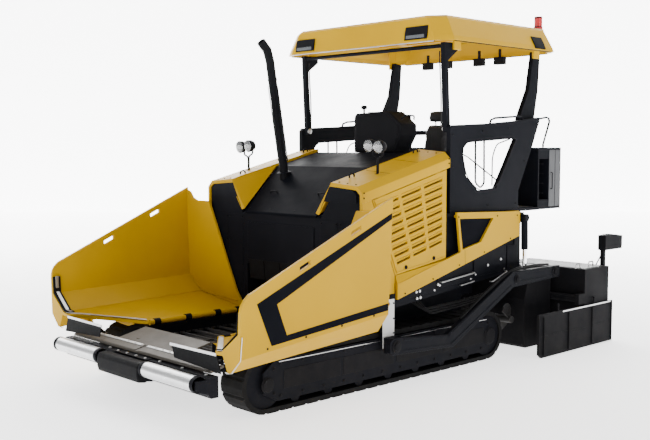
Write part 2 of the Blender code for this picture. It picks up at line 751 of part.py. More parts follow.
# ================================================================ push beam
def build_push_beam(material):
    """The beam that carries the truck rollers and swings on an upright pin."""
    half = ROLLER_INNER_X + ROLLER_LENGTH + 0.035
    back = BEAM_PIN_Y - 0.075
    front = ROLLER_Y + ROLLER_RADIUS + RUN_GAP
    bar = [
        (front, BEAM_BOTTOM_Z + 0.04),
        (front + 0.03, BEAM_BOTTOM_Z),
        (back, BEAM_BOTTOM_Z),
        (back, BEAM_TOP_Z),
        (front + 0.02, BEAM_TOP_Z),
        (front, BEAM_TOP_Z - 0.02),
    ]
    shapes = [prism("x", bar, -half, half)]
    nose = [
        (ROLLER_Y - 0.05, 0.34),
        (ROLLER_Y - 0.01, 0.28),
        (front + 0.03, BEAM_BOTTOM_Z - 0.01),
        (front + 0.05, BEAM_TOP_Z - 0.01),
        (ROLLER_Y, BEAM_TOP_Z - 0.01),
        (ROLLER_Y - 0.05, 0.42),
    ]
    shapes.append(prism("x", nose, -ROLLER_INNER_X + 0.03, ROLLER_INNER_X - 0.03))
    lug = box(
        (-0.11, 0.11),
        (back - 0.02, BEAM_PIN_Y + 0.06),
        (NOSE_TOP_Z + GAP, BEAM_TOP_Z),
    )
    shapes.append(lug)
    inner = ROLLER_INNER_X - PIN_GAP
    outer = ROLLER_INNER_X + ROLLER_LENGTH + PIN_GAP
    for side in SIDES.values():
        for low, high in ((inner - 0.035, inner), (outer, outer + 0.034)):
            cheek = [
                (ROLLER_Y - 0.045, ROLLER_Z - 0.05),
                (front + 0.03, BEAM_BOTTOM_Z + 0.03),
                (front + 0.03, BEAM_TOP_Z - 0.02),
                (ROLLER_Y - 0.045, ROLLER_Z + 0.04),
            ]
            shapes.append(prism("x", cheek, *sorted((side * low, side * high))))
    hole = rod(
        (0, BEAM_PIN_Y, NOSE_TOP_Z - 0.05), (0, BEAM_PIN_Y, BEAM_TOP_Z + 0.05), BEAM_PIN_RADIUS + PIN_GAP, 20
    )
    return part("push_beam", material, shapes, [hole], (0.0, BEAM_PIN_Y, BEAM_TOP_Z))


def build_push_rollers(material):
    """The two rollers that push a truck's wheels."""
    start = (ROLLER_INNER_X, ROLLER_Y, ROLLER_Z)
    end = (ROLLER_INNER_X + ROLLER_LENGTH, ROLLER_Y, ROLLER_Z)
    middle = (ROLLER_INNER_X + ROLLER_LENGTH / 2, ROLLER_Y, ROLLER_Z)
    return pair("push_roller", material, [rod(start, end, ROLLER_RADIUS, 32)], (), middle)


# ================================================================ engine covers
def cover_rise(y):
    return COVER_RISE * (y - BODY_FRONT_Y)


def cover_path(y, inset):
    """The cover's sheet across the machine, from its lower side edge to its inner edge."""
    rise = cover_rise(y)
    return [
        (BODY_X - inset, y, COVER_EDGE_Z + rise),
        (BODY_X - inset, y, COVER_BEND_Z - inset * 0.4 + rise),
        (COVER_TOP_X - inset * 0.4, y, COVER_TOP_Z - inset + rise),
        (COVER_INNER_X, y, COVER_INNER_Z - inset + rise),
    ]


def build_covers(material):
    """The yellow cover on each side: side, top, front shoulder and cheek."""
    sections = []
    for y in (BODY_FRONT_Y, COVER_REAR_Y):
        sections.append(cover_path(y, 0.0) + cover_path(y, COVER_SHEET)[::-1])
    shapes = [loft(sections)]
    rear = BODY_FRONT_Y + SHOULDER_LENGTH
    face = [
        Vector((COVER_INNER_X, BODY_FRONT_Y, COVER_INNER_Z - 0.004)),
        Vector((SHOULDER_TIP_X, BODY_FRONT_Y, SHOULDER_TIP_Z)),
        Vector((COVER_INNER_X, rear, COVER_INNER_Z + cover_rise(rear) - 0.02)),
    ]
    back = Vector((0.05, 0.0, -0.015))
    shapes.append(hull(face + [p + back for p in face]))
    cheek = [
        (BODY_FRONT_Y, 0.95),
        (GRILLE_BOTTOM_FRONT_Y - RUN_GAP, 0.95),
        (GRILLE_BOTTOM_FRONT_Y - RUN_GAP, GRILLE_BOTTOM_FRONT_Z),
        (GRILLE_TOP_FRONT_Y - 2 * RUN_GAP, COVER_EDGE_Z + cover_rise(GRILLE_TOP_FRONT_Y)),
        (GRILLE_TOP_FRONT_Y - 2 * RUN_GAP, COVER_EDGE_Z + cover_rise(GRILLE_TOP_FRONT_Y) + 0.03),
        (BODY_FRONT_Y, COVER_EDGE_Z + 0.03),
    ]
    shapes.append(prism("x", cheek, BODY_X - COVER_SHEET, BODY_X - 0.002))
    return pair("engine_cover", material, shapes)


def hood_edge(y):
    """Half width and height of the hood at a station."""
    rear = BODY_FRONT_Y + SHOULDER_LENGTH
    share = min(1.0, (y - BODY_FRONT_Y) / SHOULDER_LENGTH)
    half = between(SHOULDER_TIP_X, COVER_INNER_X, share) - RUN_GAP
    ridge = COVER_INNER_Z + cover_rise(rear) - 0.03
    height = between(SHOULDER_TIP_Z - 0.03, ridge, share)
    if y > rear:
        height += cover_rise(y) - cover_rise(rear)
    return half, height


def build_hood(material):
    """The black hood: a steep front and a top that meets the covers."""
    sections = []
    for y in (BODY_FRONT_Y + 0.004, BODY_FRONT_Y + SHOULDER_LENGTH, DECK_FRONT_Y - GAP):
        half, z = hood_edge(y)
        low = z - HOOD_SHEET
        sections.append([(-half, y, z), (half, y, z), (half, y, low), (-half, y, low)])
    x = EXHAUST_X
    _, base_z = hood_edge(EXHAUST_Y)
    hole = rod((x, EXHAUST_Y, base_z - 0.2), (x, EXHAUST_Y, base_z + 0.3), EXHAUST_RADIUS + PIN_GAP, 20)
    return part("hood", material, [loft(sections)], [hole])


def build_hopper_wall(material):
    """The black wall behind the hopper, over and beside the tunnel mouth."""
    front, back = BODY_FRONT_Y + 0.02, BODY_FRONT_Y + FRAME_PLATE - GAP
    half_tunnel = FRAME_X - FRAME_PLATE / 2
    bottom = HINGE_Z + HINGE_RADIUS + 0.02
    side_x = BODY_X - COVER_SHEET - GAP
    sections = []
    for y in (front, back):
        rise = cover_rise(y)
        _, hood_z = hood_edge(y)
        under_hood = hood_z - HOOD_SHEET - GAP
        top = COVER_INNER_Z - COVER_SHEET - GAP + rise
        half = [
            (half_tunnel, bottom),
            (side_x, bottom),
            (side_x, COVER_BEND_Z - COVER_SHEET * 0.4 - 0.004 + rise),
            (COVER_TOP_X - COVER_SHEET * 0.4 - 0.004, COVER_TOP_Z - COVER_SHEET - 0.003 + rise),
            (COVER_INNER_X + 0.055, top - 0.010),
            (SHOULDER_TIP_X + 0.052, under_hood - 0.01),
            (SHOULDER_TIP_X + 0.03, under_hood),
        ]
        mouth = [(half_tunnel, TUNNEL_ROOF_Z - 0.05)]
        right = [(-a, b) for a, b in reversed(half)]
        outline = half + right + [(-a, b) for a, b in mouth] + mouth
        sections.append([(a, y, b) for a, b in outline])
    return part("hopper_rear_wall", material, [loft(sections)])


def grille_line(y):
    """Heights of the grille door's lower and upper edge at a station."""
    share = (y - GRILLE_BOTTOM_FRONT_Y) / (GRILLE_REAR_Y - GRILLE_BOTTOM_FRONT_Y)
    low = between(GRILLE_BOTTOM_FRONT_Z, GRILLE_BOTTOM_REAR_Z, share)
    return low, COVER_EDGE_Z + cover_rise(y) - RUN_GAP


def grille_front(z):
    """The slanting front edge of the grille door."""
    top = grille_line(GRILLE_TOP_FRONT_Y)[1]
    share = (z - GRILLE_BOTTOM_FRONT_Z) / (top - GRILLE_BOTTOM_FRONT_Z)
    return between(GRILLE_BOTTOM_FRONT_Y, GRILLE_TOP_FRONT_Y, share)


def build_grille_doors(material):
    """The louvred doors, hinged along their upper edge."""
    low, high = BODY_X - GRILLE_SHEET, BODY_X
    lift = RUN_GAP - PIN_GAP
    outline = [
        (GRILLE_BOTTOM_FRONT_Y, GRILLE_BOTTOM_FRONT_Z),
        (GRILLE_REAR_Y, GRILLE_BOTTOM_REAR_Z),
        (GRILLE_REAR_Y, grille_line(GRILLE_REAR_Y)[1]),
    ]
    for y in (GRILLE_REAR_Y - 0.10, GRILLE_TOP_FRONT_Y + 0.18):
        for at, up in ((y, 0.0), (y, lift), (y - 0.08, lift), (y - 0.08, 0.0)):
            outline.append((at, grille_line(at)[1] + up))
    outline.append((GRILLE_TOP_FRONT_Y, grille_line(GRILLE_TOP_FRONT_Y)[1]))
    cuts = []
    bottom = GRILLE_BOTTOM_FRONT_Z + 0.10
    pitch = (grille_line(GRILLE_TOP_FRONT_Y)[1] - bottom - 0.02) / (LOUVRE_ROWS - 1)
    slope = COVER_RISE
    for row in range(LOUVRE_ROWS):
        z = bottom + row * pitch
        front = grille_front(z) + 0.07
        rear = GRILLE_REAR_Y - 0.07
        width = (rear - front - 0.10) / 3
        for column in range(3):
            a = front + column * (width + 0.05)
            b = a + width
            za, zb = (z + slope * (v - GRILLE_BOTTOM_FRONT_Y) for v in (a, b))
            slot = [(a, za), (b, zb), (b, zb + LOUVRE_HEIGHT), (a, za + LOUVRE_HEIGHT)]
            cuts.append(prism("x", slot, low - 0.01, high + 0.01))
    pivot = (high, GRILLE_TOP_FRONT_Y, grille_line(GRILLE_TOP_FRONT_Y)[1] + lift)
    return pair("grille_door", material, [prism("x", outline, low, high)], cuts, pivot)


def side_band(y):
    """Heights of the side cover's lower and upper edge at a station."""
    rise = SIDE_COVER_SLOPE * (y - GRILLE_BOTTOM_FRONT_Y)
    return SIDE_COVER_LOW_Z + rise, SIDE_COVER_HIGH_Z + rise


def build_side_covers(material):
    """The yellow band under the grille that widens into a frame beside the platform."""
    outer, inner = SIDE_COVER_X, SIDE_COVER_X - SIDE_COVER_SHEET
    front, post, rear = GRILLE_BOTTOM_FRONT_Y, SIDE_COVER_POST_Y, SIDE_COVER_REAR_Y
    top = DECK_Z + 0.012
    foot = post + 0.065
    outline = [
        (front, side_band(front)[0]),
        (rear, side_band(rear)[0]),
        (rear, top - 0.04),
        (post, top),
        (foot, side_band(foot)[1]),
        (front, side_band(front)[1]),
    ]
    window = [
        (post + 0.045, top - 0.072),
        (rear - 0.525, top - 0.094),
        (rear - 0.75, side_band(rear - 0.75)[1] - 0.002),
        (foot + 0.035, side_band(foot)[1] + 0.025),
    ]
    shapes = [prism("x", outline, inner, outer)]
    flange = []
    for y in (front + 0.002, GRILLE_REAR_Y):
        low, high = grille_line(y)[0] - RUN_GAP, side_band(y)[1] - 0.008
        flange.append([
            (TANK_X + GAP, y, low),
            (BODY_X, y, low),
            (outer - 0.002, y, high),
            (outer - 0.002, y, high - 0.05),
            (BODY_X, y, high - 0.05),
            (BODY_X - 0.02, y, low - 0.03),
            (TANK_X + GAP, y, low - 0.03),
        ])
    shapes.append(loft(flange))
    deck_strip = (DECK_X + GAP, outer - 0.01)
    shapes.append(box(deck_strip, (post + 0.03, rear - 0.01), (DECK_Z - 0.05, DECK_Z - 0.02)))
    ledge = side_band(rear)[0]
    tank_strip = (TANK_X + GAP, outer - 0.01)
    shapes.append(box(tank_strip, (rear - 0.40, rear - 0.01), (ledge + 0.01, ledge + 0.04)))
    return pair("side_cover", material, shapes, [prism("x", window, inner - 0.01, outer + 0.01)])


# ================================================================ platform
def build_platform(material):
    """The platform plate, its front wall under the covers, and the two seat pedestals."""
    plate = box((-DECK_X, DECK_X), (DECK_FRONT_Y + 0.002, DECK_REAR_Y), (DECK_Z - DECK_PLATE, DECK_Z))
    sections = []
    for y in (DECK_FRONT_Y, DECK_FRONT_Y + 0.03):
        rise = cover_rise(DECK_FRONT_Y)
        top = COVER_INNER_Z - COVER_SHEET - GAP + rise
        half = [
            (BODY_X - COVER_SHEET - GAP, DECK_Z - 0.01),
            (BODY_X - COVER_SHEET - GAP, COVER_BEND_Z - COVER_SHEET * 0.4 - 0.004 + rise),
            (COVER_TOP_X - COVER_SHEET * 0.4 - 0.004, COVER_TOP_Z - COVER_SHEET - 0.003 + rise),
            (COVER_INNER_X, top),
        ]
        outline = half + [(-a, b) for a, b in reversed(half)]
        sections.append([(a, y, b) for a, b in outline])
    shapes = [plate, loft(sections)]
    for side in SIDES.values():
        x = side * (SEAT_X + SEAT_TRAVEL / 2)
        top = SEAT_BASE_TOP_Z - GAP
        reach = SEAT_TRAVEL / 2 + 0.15
        shapes.append(box((x - 0.17, x + 0.17), (SEAT_Y - 0.17, SEAT_Y + 0.17), (DECK_Z - 0.01, top - 0.02)))
        shapes.append(box((x - reach, x + reach), (SEAT_Y - 0.14, SEAT_Y + 0.14), (top - 0.04, top)))
    return part("platform", material, shapes)


def build_seats(material):
    """Each seat is a soft solid: a cushion and a high back."""
    w, d = SEAT_WIDTH / 2, SEAT_DEPTH / 2
    z = SEAT_BASE_TOP_Z
    cushion = [
        (SEAT_Y - d, z + 0.03),
        (SEAT_Y - d + 0.03, z),
        (SEAT_Y + d, z),
        (SEAT_Y + d, z + 0.13),
        (SEAT_Y - d + 0.04, z + 0.15),
        (SEAT_Y - d, z + 0.11),
    ]
    back = [
        (SEAT_Y + d - 0.13, z + 0.02),
        (SEAT_Y + d - 0.01, z + 0.02),
        (SEAT_Y + d + 0.07, SEAT_TOP_Z - 0.06),
        (SEAT_Y + d + 0.05, SEAT_TOP_Z),
        (SEAT_Y + d - 0.03, SEAT_TOP_Z),
        (SEAT_Y + d - 0.06, SEAT_TOP_Z - 0.06),
    ]
    shapes = [
        prism("x", cushion, SEAT_X - w, SEAT_X + w),
        prism("x", back, SEAT_X - w + 0.02, SEAT_X + w - 0.02),
    ]
    return pair("seat", material, shapes, (), (SEAT_X, SEAT_Y, SEAT_BASE_TOP_Z))


def build_console(material):
    """The control console, which slides across the platform."""
    y = (CONSOLE_Y, CONSOLE_Y + CONSOLE_DEPTH)
    pedestal = box((-0.16, 0.16), (y[0] + 0.05, y[1] - 0.05), (DECK_Z + GAP, 2.45))
    dash = [
        (-0.30, 2.40),
        (0.34, 2.40),
        (0.46, 2.60),
        (0.46, 2.73),
        (0.26, CONSOLE_TOP_Z),
        (-0.27, CONSOLE_TOP_Z - 0.01),
        (-0.30, CONSOLE_TOP_Z - 0.05),
    ]
    return part("console", material, [pedestal, prism("y", dash, *y)], (), (0.0, CONSOLE_Y, DECK_Z))


def build_side_frames(material):
    """The arched side frames of the platform, with a window and handrails."""
    z = DECK_Z
    outline = [
        (0.215, z + GAP),
        (1.50, z + GAP),
        (1.50, z + 0.215),
        (1.785, z + 0.755),
        (1.924, z + 1.045),
        (1.924, z + 1.09),
        (1.395, z + 1.035),
        (0.915, z + 1.00),
        (0.50, z + 0.98),
        (0.25, z + 0.97),
        (0.215, z + 0.935),
    ]
    window = [
        (0.43, z + 0.645),
        (0.44, z + 0.725),
        (0.515, z + 0.785),
        (1.37, z + 0.835),
        (1.44, z + 0.825),
        (1.28, z + 0.578),
        (1.06, z + 0.255),
        (0.72, z + 0.235),
        (0.50, z + 0.405),
    ]
    low, high = SIDE_FRAME_X, SIDE_FRAME_X + SIDE_FRAME_PLATE
    middle = (low + high) / 2
    shapes = [prism("x", outline, low, high)]
    for y in (POST_PIN_Y, ARM_PIN_Y):
        shapes.append(rod((LINK_OUT_X + PIN_GAP, y, LINK_PIN_Z), (low + 0.01, y, LINK_PIN_Z), 0.04, 20))
    top_rail = [
        (middle, 0.95, z + 0.975),
        (middle, 0.98, z + 1.04),
        (middle, 1.06, z + 1.065),
        (middle, 1.53, z + 1.095),
        (middle, 1.58, z + 1.085),
        (middle, 1.60, z + 1.035),
    ]
    rear_rail = [
        (middle + 0.012, 1.88, z + 1.065),
        (middle + 0.012, 2.09, z + 1.095),
        (middle + 0.012, 2.14, z + 1.085),
        (middle + 0.012, 2.16, z + 1.045),
        (middle + 0.012, 2.03, LOCKER_TOP_Z + 0.04),
        (middle + 0.012, 2.03, LOCKER_TOP_Z + GAP),
    ]
    shapes += [pipe(top_rail, 0.012), pipe(rear_rail, 0.012)]
    return pair("side_frame", material, shapes, [prism("x", window, low - 0.1, high + 0.1)])


def build_lockers(material):
    """The open-sided lockers behind the platform."""
    x = (LOCKER_OUT_X - LOCKER_WIDTH, LOCKER_OUT_X)
    y = (DECK_REAR_Y + GAP, DECK_REAR_Y + GAP + LOCKER_DEPTH)
    z = (LOCKER_BOTTOM_Z, LOCKER_TOP_Z)
    t = LOCKER_SHEET
    bay = box((x[0] + t, x[1] + 0.1), (y[0] + t, y[0] + 0.23), (z[0] + 0.12, z[1] - 0.14))
    chest = box((x[0] + t, x[1] - t), (y[0] + 0.26, y[1] + 0.1), (z[0] + 0.12, z[1] - t))
    return pair("locker", material, [box(x, y, z)], [bay, chest])


def build_exhaust(material):
    """The exhaust pipe through the hood, leaning forward, with a bent open tip."""
    x = EXHAUST_X
    _, base = hood_edge(EXHAUST_Y)
    route = [
        (x, EXHAUST_Y, base - 0.16),
        (x, EXHAUST_Y, base + 0.05),
        (x, EXHAUST_Y - 0.21, EXHAUST_TOP_Z - 0.21),
        (x, EXHAUST_Y - 0.25, EXHAUST_TOP_Z - 0.09),
        (x, EXHAUST_Y - 0.34, EXHAUST_TOP_Z),
    ]
    inside = [Vector(p) for p in route]
    tip = (inside[-1] - inside[-2]).normalized()
    bore = [inside[2], inside[3], inside[4] + tip * 0.05]
    wall = EXHAUST_RADIUS - EXHAUST_WALL
    shapes = [pipe(route, EXHAUST_RADIUS, 20)]
    return part("exhaust_stack", material, shapes, [pipe(bore, wall, 20)])


# ================================================================ roof
def roof_ring(inset_x, inset_y, z, corner=ROOF_CORNER):
    """A rectangle with cut corners, at a height."""
    x = ROOF_X - inset_x
    front, rear = ROOF_FRONT_Y + inset_y, ROOF_REAR_Y - inset_y
    inner, side = x - ROOF_FRONT_CUT_X, front + ROOF_FRONT_CUT_Y
    points = [
        (-inner, front), (inner, front), (x, side), (x, rear - corner),
        (x - corner, rear), (-x + corner, rear), (-x, rear - corner), (-x, side),
    ]
    return [(a, b, z) for a, b in points]


def pivot_tab(y, side):
    """The tab under the canopy that an arm or a post is pinned to."""
    low = LINK_OUT_X + PIN_GAP
    return box(
        sorted((side * low, side * (low + 0.03))),
        (y - 0.06, y + 0.06),
        (LINK_PIN_Z + LINK_RISE - 0.04, ROOF_TOP_Z - 0.05),
    )


def build_canopy(material):
    """The hollow roof canopy with its pivot tabs."""
    t = ROOF_SKIN
    shell = loft([
        roof_ring(0.0, 0.0, ROOF_EDGE_Z),
        roof_ring(0.02, 0.005, ROOF_EDGE_Z + 0.05),
        roof_ring(ROOF_INSET, 0.03, ROOF_TOP_Z - 0.03),
        roof_ring(ROOF_INSET + 0.03, 0.06, ROOF_TOP_Z, ROOF_TOP_CORNER),
    ])
    hollow = loft([
        roof_ring(t, t, ROOF_EDGE_Z - 0.05),
        roof_ring(t + 0.02, t + 0.005, ROOF_EDGE_Z + 0.05),
        roof_ring(ROOF_INSET + t, 0.03 + t, ROOF_TOP_Z - 0.03 - t),
    ])
    canopy = part("roof_canopy", material, [shell], [hollow])
    tabs = []
    for side in SIDES.values():
        tabs += [pivot_tab(POST_PIN_Y + LINK_LEAN, side), pivot_tab(ARM_PIN_Y + LINK_LEAN, side)]
    apply_boolean(canopy, tabs, "UNION")
    pivot = Vector((0.0, ARM_PIN_Y + LINK_LEAN, LINK_PIN_Z + LINK_RISE))
    canopy.data.transform(Matrix.Translation(-pivot))
    canopy.location = pivot
    return canopy


def build_rear_roof_frame(material):
    """The two leaning rear arms and the beam between them."""
    y, z = ARM_PIN_Y, LINK_PIN_Z
    top_z = z + LINK_RISE
    arm = [
        (y - 0.14, z - 0.055),
        (y + 0.06, z - 0.065),
        (y + 0.115, z + 0.135),
        (y + 0.19, z + 0.495),
        (y + LINK_LEAN + 0.11, top_z + 0.025),
        (y + LINK_LEAN - 0.02, top_z + 0.045),
        (y, z + 0.495),
        (y - 0.20, z + 0.135),
    ]
    shapes = []
    for side in SIDES.values():
        ends = sorted((side * (LINK_OUT_X - LINK_PLATE), side * LINK_OUT_X))
        shapes.append(prism("x", arm, *ends))
    half = LINK_OUT_X - LINK_PLATE / 2
    shapes.append(box((-half, half), (y - 0.09, y - 0.03), (z - 0.04, z + 0.02)))
    return part("roof_rear_frame", material, shapes, (), (0.0, ARM_PIN_Y, LINK_PIN_Z))


def build_front_roof_frame(material):
    """The two front posts, with a gusset at the top pin and a tube between them."""
    w = POST_WIDTH / 2
    top_z = LINK_PIN_Z + LINK_RISE
    pin_y = POST_PIN_Y + LINK_LEAN
    post = [
        (POST_PIN_Y - w, LINK_PIN_Z - 0.04),
        (POST_PIN_Y + w, LINK_PIN_Z - 0.04),
        (POST_TOP_Y + w, top_z - 0.16),
        (pin_y + 0.04, top_z - 0.04),
        (pin_y + 0.04, top_z + 0.035),
        (POST_TOP_Y - w, top_z + 0.035),
    ]
    shapes = []
    for side in SIDES.values():
        ends = sorted((side * (LINK_OUT_X - LINK_PLATE), side * LINK_OUT_X))
        shapes.append(prism("x", post, *ends))
    half = LINK_OUT_X - LINK_PLATE / 2
    shapes.append(rod((-half, POST_TOP_Y, top_z), (half, POST_TOP_Y, top_z), 0.022, 16))
    return part("roof_front_frame", material, shapes, (), (0.0, POST_PIN_Y, LINK_PIN_Z))


def build_beacon(material):
    """The rotating light on the canopy's rear corner."""
    x, y = ROOF_X - ROOF_INSET - 0.115, ROOF_REAR_Y - 0.13
    z = ROOF_TOP_Z + GAP
    shapes = [rod((x, y, z), (x, y, z + 0.03), 0.054, 20), rod((x, y, z + 0.02), (x, y, z + 0.16), 0.046, 20)]
    return part("beacon", material, shapes)


# ================================================================ screed
def build_augers(material):
    """The spreading augers, each a shaft with one screw flight."""
    start = Vector((AUGER_IN_X, AUGER_Y, AUGER_Z))
    end = Vector((AUGER_OUT_X, AUGER_Y, AUGER_Z))
    length = (end - start).length
    flight_length = length - 0.06
    steps = int(flight_length / AUGER_PITCH * 16)
    sections = []
    for i in range(steps + 1):
        angle = 2 * math.pi * (i + 0.4) / 16
        x = start.x + 0.03 + flight_length * i / steps
        radial = Vector((0.0, math.cos(angle), math.sin(angle)))
        ring = []
        for reach, shift in ((0.6, -1), (1.0, -1), (1.0, 1), (0.6, 1)):
            r = AUGER_SHAFT * reach if reach < 1 else AUGER_RADIUS
            centre = Vector((x + shift * AUGER_FLIGHT / 2, AUGER_Y, AUGER_Z))
            ring.append(centre + radial * r)
        sections.append(ring)
    shapes = [rod(start, end, AUGER_SHAFT, 16), loft(sections)]
    return pair("auger", material, shapes, (), start)


def build_tow_points(material):
    """The sliding tow points on their guides, each with the pin of its tow arm."""
    face = TOW_GUIDE_X + 0.03 + GAP
    arm = TOW_ARM_X - PIN_GAP
    block = box((face, arm), (TOW_PIN_Y - 0.07, TOW_PIN_Y + 0.07), (TOW_PIN_Z - 0.07, TOW_PIN_Z + 0.09))
    pin = rod(
        (arm - 0.02, TOW_PIN_Y, TOW_PIN_Z), (TOW_ARM_X + TOW_ARM_PLATE + 0.01, TOW_PIN_Y, TOW_PIN_Z),
        TOW_PIN_RADIUS, 20,
    )
    return pair("tow_point", material, [block, pin], (), (face, TOW_PIN_Y, TOW_PIN_Z))


def build_tow_arms(material):
    """The long arms that pull the screed, with the lug of the lift rod."""
    outline = [
        (TOW_PIN_Y - 0.10, TOW_PIN_Z - 0.05),
        (TOW_PIN_Y - 0.06, TOW_PIN_Z - 0.08),
        (0.06, 0.30),
        (1.16, 0.84),
        (2.12, 0.88),
        (2.12, 1.02),
        (1.14, 1.02),
        (-0.04, 0.45),
        (TOW_PIN_Y + 0.05, TOW_PIN_Z + 0.09),
        (TOW_PIN_Y - 0.06, TOW_PIN_Z + 0.09),
        (TOW_PIN_Y - 0.10, TOW_PIN_Z + 0.06),
    ]
    plate = prism("x", outline, TOW_ARM_X, TOW_ARM_X + TOW_ARM_PLATE)
    hole = rod(
        (TOW_ARM_X - 0.05, TOW_PIN_Y, TOW_PIN_Z), (TOW_ARM_X + TOW_ARM_PLATE + 0.05, TOW_PIN_Y, TOW_PIN_Z),
        TOW_PIN_RADIUS + PIN_GAP, 20,
    )
    return pair("tow_arm", material, [plate], [hole], (TOW_ARM_X, TOW_PIN_Y, TOW_PIN_Z))


def tube_block(side, x):
    """A block on the main screed's back with the bore of one extension tube."""
    y = SCREED_REAR_Y + EXTENSION_GAP / 2
    z = TUBE_Z[side]
    block = box(
        (x - 0.03, x + 0.03), (SCREED_REAR_Y - 0.02, y + TUBE_RADIUS + 0.012), (z - 0.065, z + 0.065)
    )
    hole = rod((x - 0.06, y, z), (x + 0.06, y, z), TUBE_RADIUS + PIN_GAP, 20)
    return block, hole


def build_screed(material):
    """The main screed with its tow arm brackets and the guide blocks of the extensions."""
    outline = [
        (SCREED_FRONT_Y, SCREED_SOLE_Z + 0.03),
        (SCREED_FRONT_Y + 0.03, SCREED_SOLE_Z),
        (SCREED_REAR_Y, SCREED_SOLE_Z),
        (SCREED_REAR_Y, SCREED_TOP_Z),
        (SCREED_FRONT_Y + 0.10, SCREED_TOP_Z),
        (SCREED_FRONT_Y, 0.62),
    ]
    shapes = [prism("x", outline, -SCREED_X, SCREED_X)]
    cuts = []
    for side in SIDES.values():
        reach = TOW_ARM_X - GAP
        shapes.append(box(sorted((side * (SCREED_X - 0.05), side * reach)), (1.85, 2.08), (0.89, 0.97)))
        for x in (0.20, 1.02):
            block, hole = tube_block(side, side * x)
            shapes.append(block)
            cuts.append(hole)
    return part("screed_main", material, shapes, cuts, (0.0, TOW_PIN_Y, TOW_PIN_Z))


def build_extensions(material):
    """The sliding screed extensions, each with its guide tube."""
    inner = EXTENSION_OUT + 0.04
    outer = SCREED_X + EXTENSION_OUT
    front = SCREED_REAR_Y + EXTENSION_GAP
    outline = [
        (front, SCREED_SOLE_Z),
        (EXTENSION_REAR_Y - 0.02, SCREED_SOLE_Z),
        (EXTENSION_REAR_Y - 0.02, 0.45),
        (EXTENSION_REAR_Y, 0.50),
        (EXTENSION_REAR_Y, SCREED_TOP_Z - 0.02),
        (front, SCREED_TOP_Z - 0.02),
    ]
    tube_y = SCREED_REAR_Y + EXTENSION_GAP / 2
    for name, side in SIDES.items():
        z = TUBE_Z[side]
        body = prism("x", outline, *sorted((side * inner, side * (outer - GATE_GAP))))
        bracket_x = sorted((side * (outer - GATE_GAP - 0.06), side * (outer - GATE_GAP)))
        bracket = box(bracket_x, (SCREED_REAR_Y + RUN_GAP, front + 0.03), (z - 0.065, z + 0.065))
        tube = rod((side * (outer - 0.03), tube_y, z), (side * -0.75, tube_y, z), TUBE_RADIUS, 20)
        corner = (side * outer, front, SCREED_SOLE_Z)
        part(f"screed_extension_{name}", material, [body, bracket, tube], (), corner)


def build_gates(material):
    """The end gates, which slide up and down on the extensions' outer ends."""
    low = SCREED_X + EXTENSION_OUT
    outline = [
        (GATE_FRONT_Y, 0.05),
        (GATE_FRONT_Y + 0.06, GATE_BOTTOM_Z),
        (GATE_REAR_Y, GATE_BOTTOM_Z),
        (GATE_REAR_Y, GATE_TOP_Z),
        (GATE_FRONT_Y, GATE_TOP_Z),
    ]
    pivot = (low, 2.64, GATE_TOP_Z)
    return pair("end_gate", material, [prism("x", outline, low, low + GATE_SHEET)], (), pivot)


def build_lift_cylinders(barrel_look, rod_look):
    """The cylinders that lift the screed, hung from the tanks."""
    base = (LIFT_X, LIFT_TOP_Y, LIFT_TOP_Z)
    tip = (LIFT_X, LIFT_PIN_Y, LIFT_PIN_Z)
    plane = (-0.04, TOW_ARM_X - PIN_GAP - LIFT_X)
    ring = (-LIFT_BARREL, LIFT_BARREL)
    span = LIFT_TOP_Z - LIFT_PIN_Z
    shapes, cuts = cylinder_barrel(base, tip, ring, 0.567 * span, LIFT_BARREL, 0.0265, 0.042, (1, 0, 0))
    pair("lift_cylinder", barrel_look, shapes, cuts, base)
    shapes = cylinder_rod(base, tip, plane, 0.507 * span, 0.026, 0.040, (1, 0, 0))
    pair("lift_rod", rod_look, shapes, (), tip)


def build_control_boxes(material):
    """The operator's box on a post at the outer rear corner of each extension."""
    x = (SCREED_X + EXTENSION_OUT - 0.12, SCREED_X + EXTENSION_OUT - 0.01)
    y = (CONTROL_REAR_Y - CONTROL_LENGTH, CONTROL_REAR_Y)
    top = [(y[0], 1.16), (y[1], 1.16), (y[1] - 0.08, 1.30), (y[1] - 0.14, 1.35), (y[0], 1.35)]
    post = box((x[0] + 0.03, x[1] - 0.03), (y[0] + 0.01, y[0] + 0.06), (SCREED_TOP_Z - 0.02 + GAP, 1.20))
    return pair("control_box", material, [prism("x", top, *x), post])


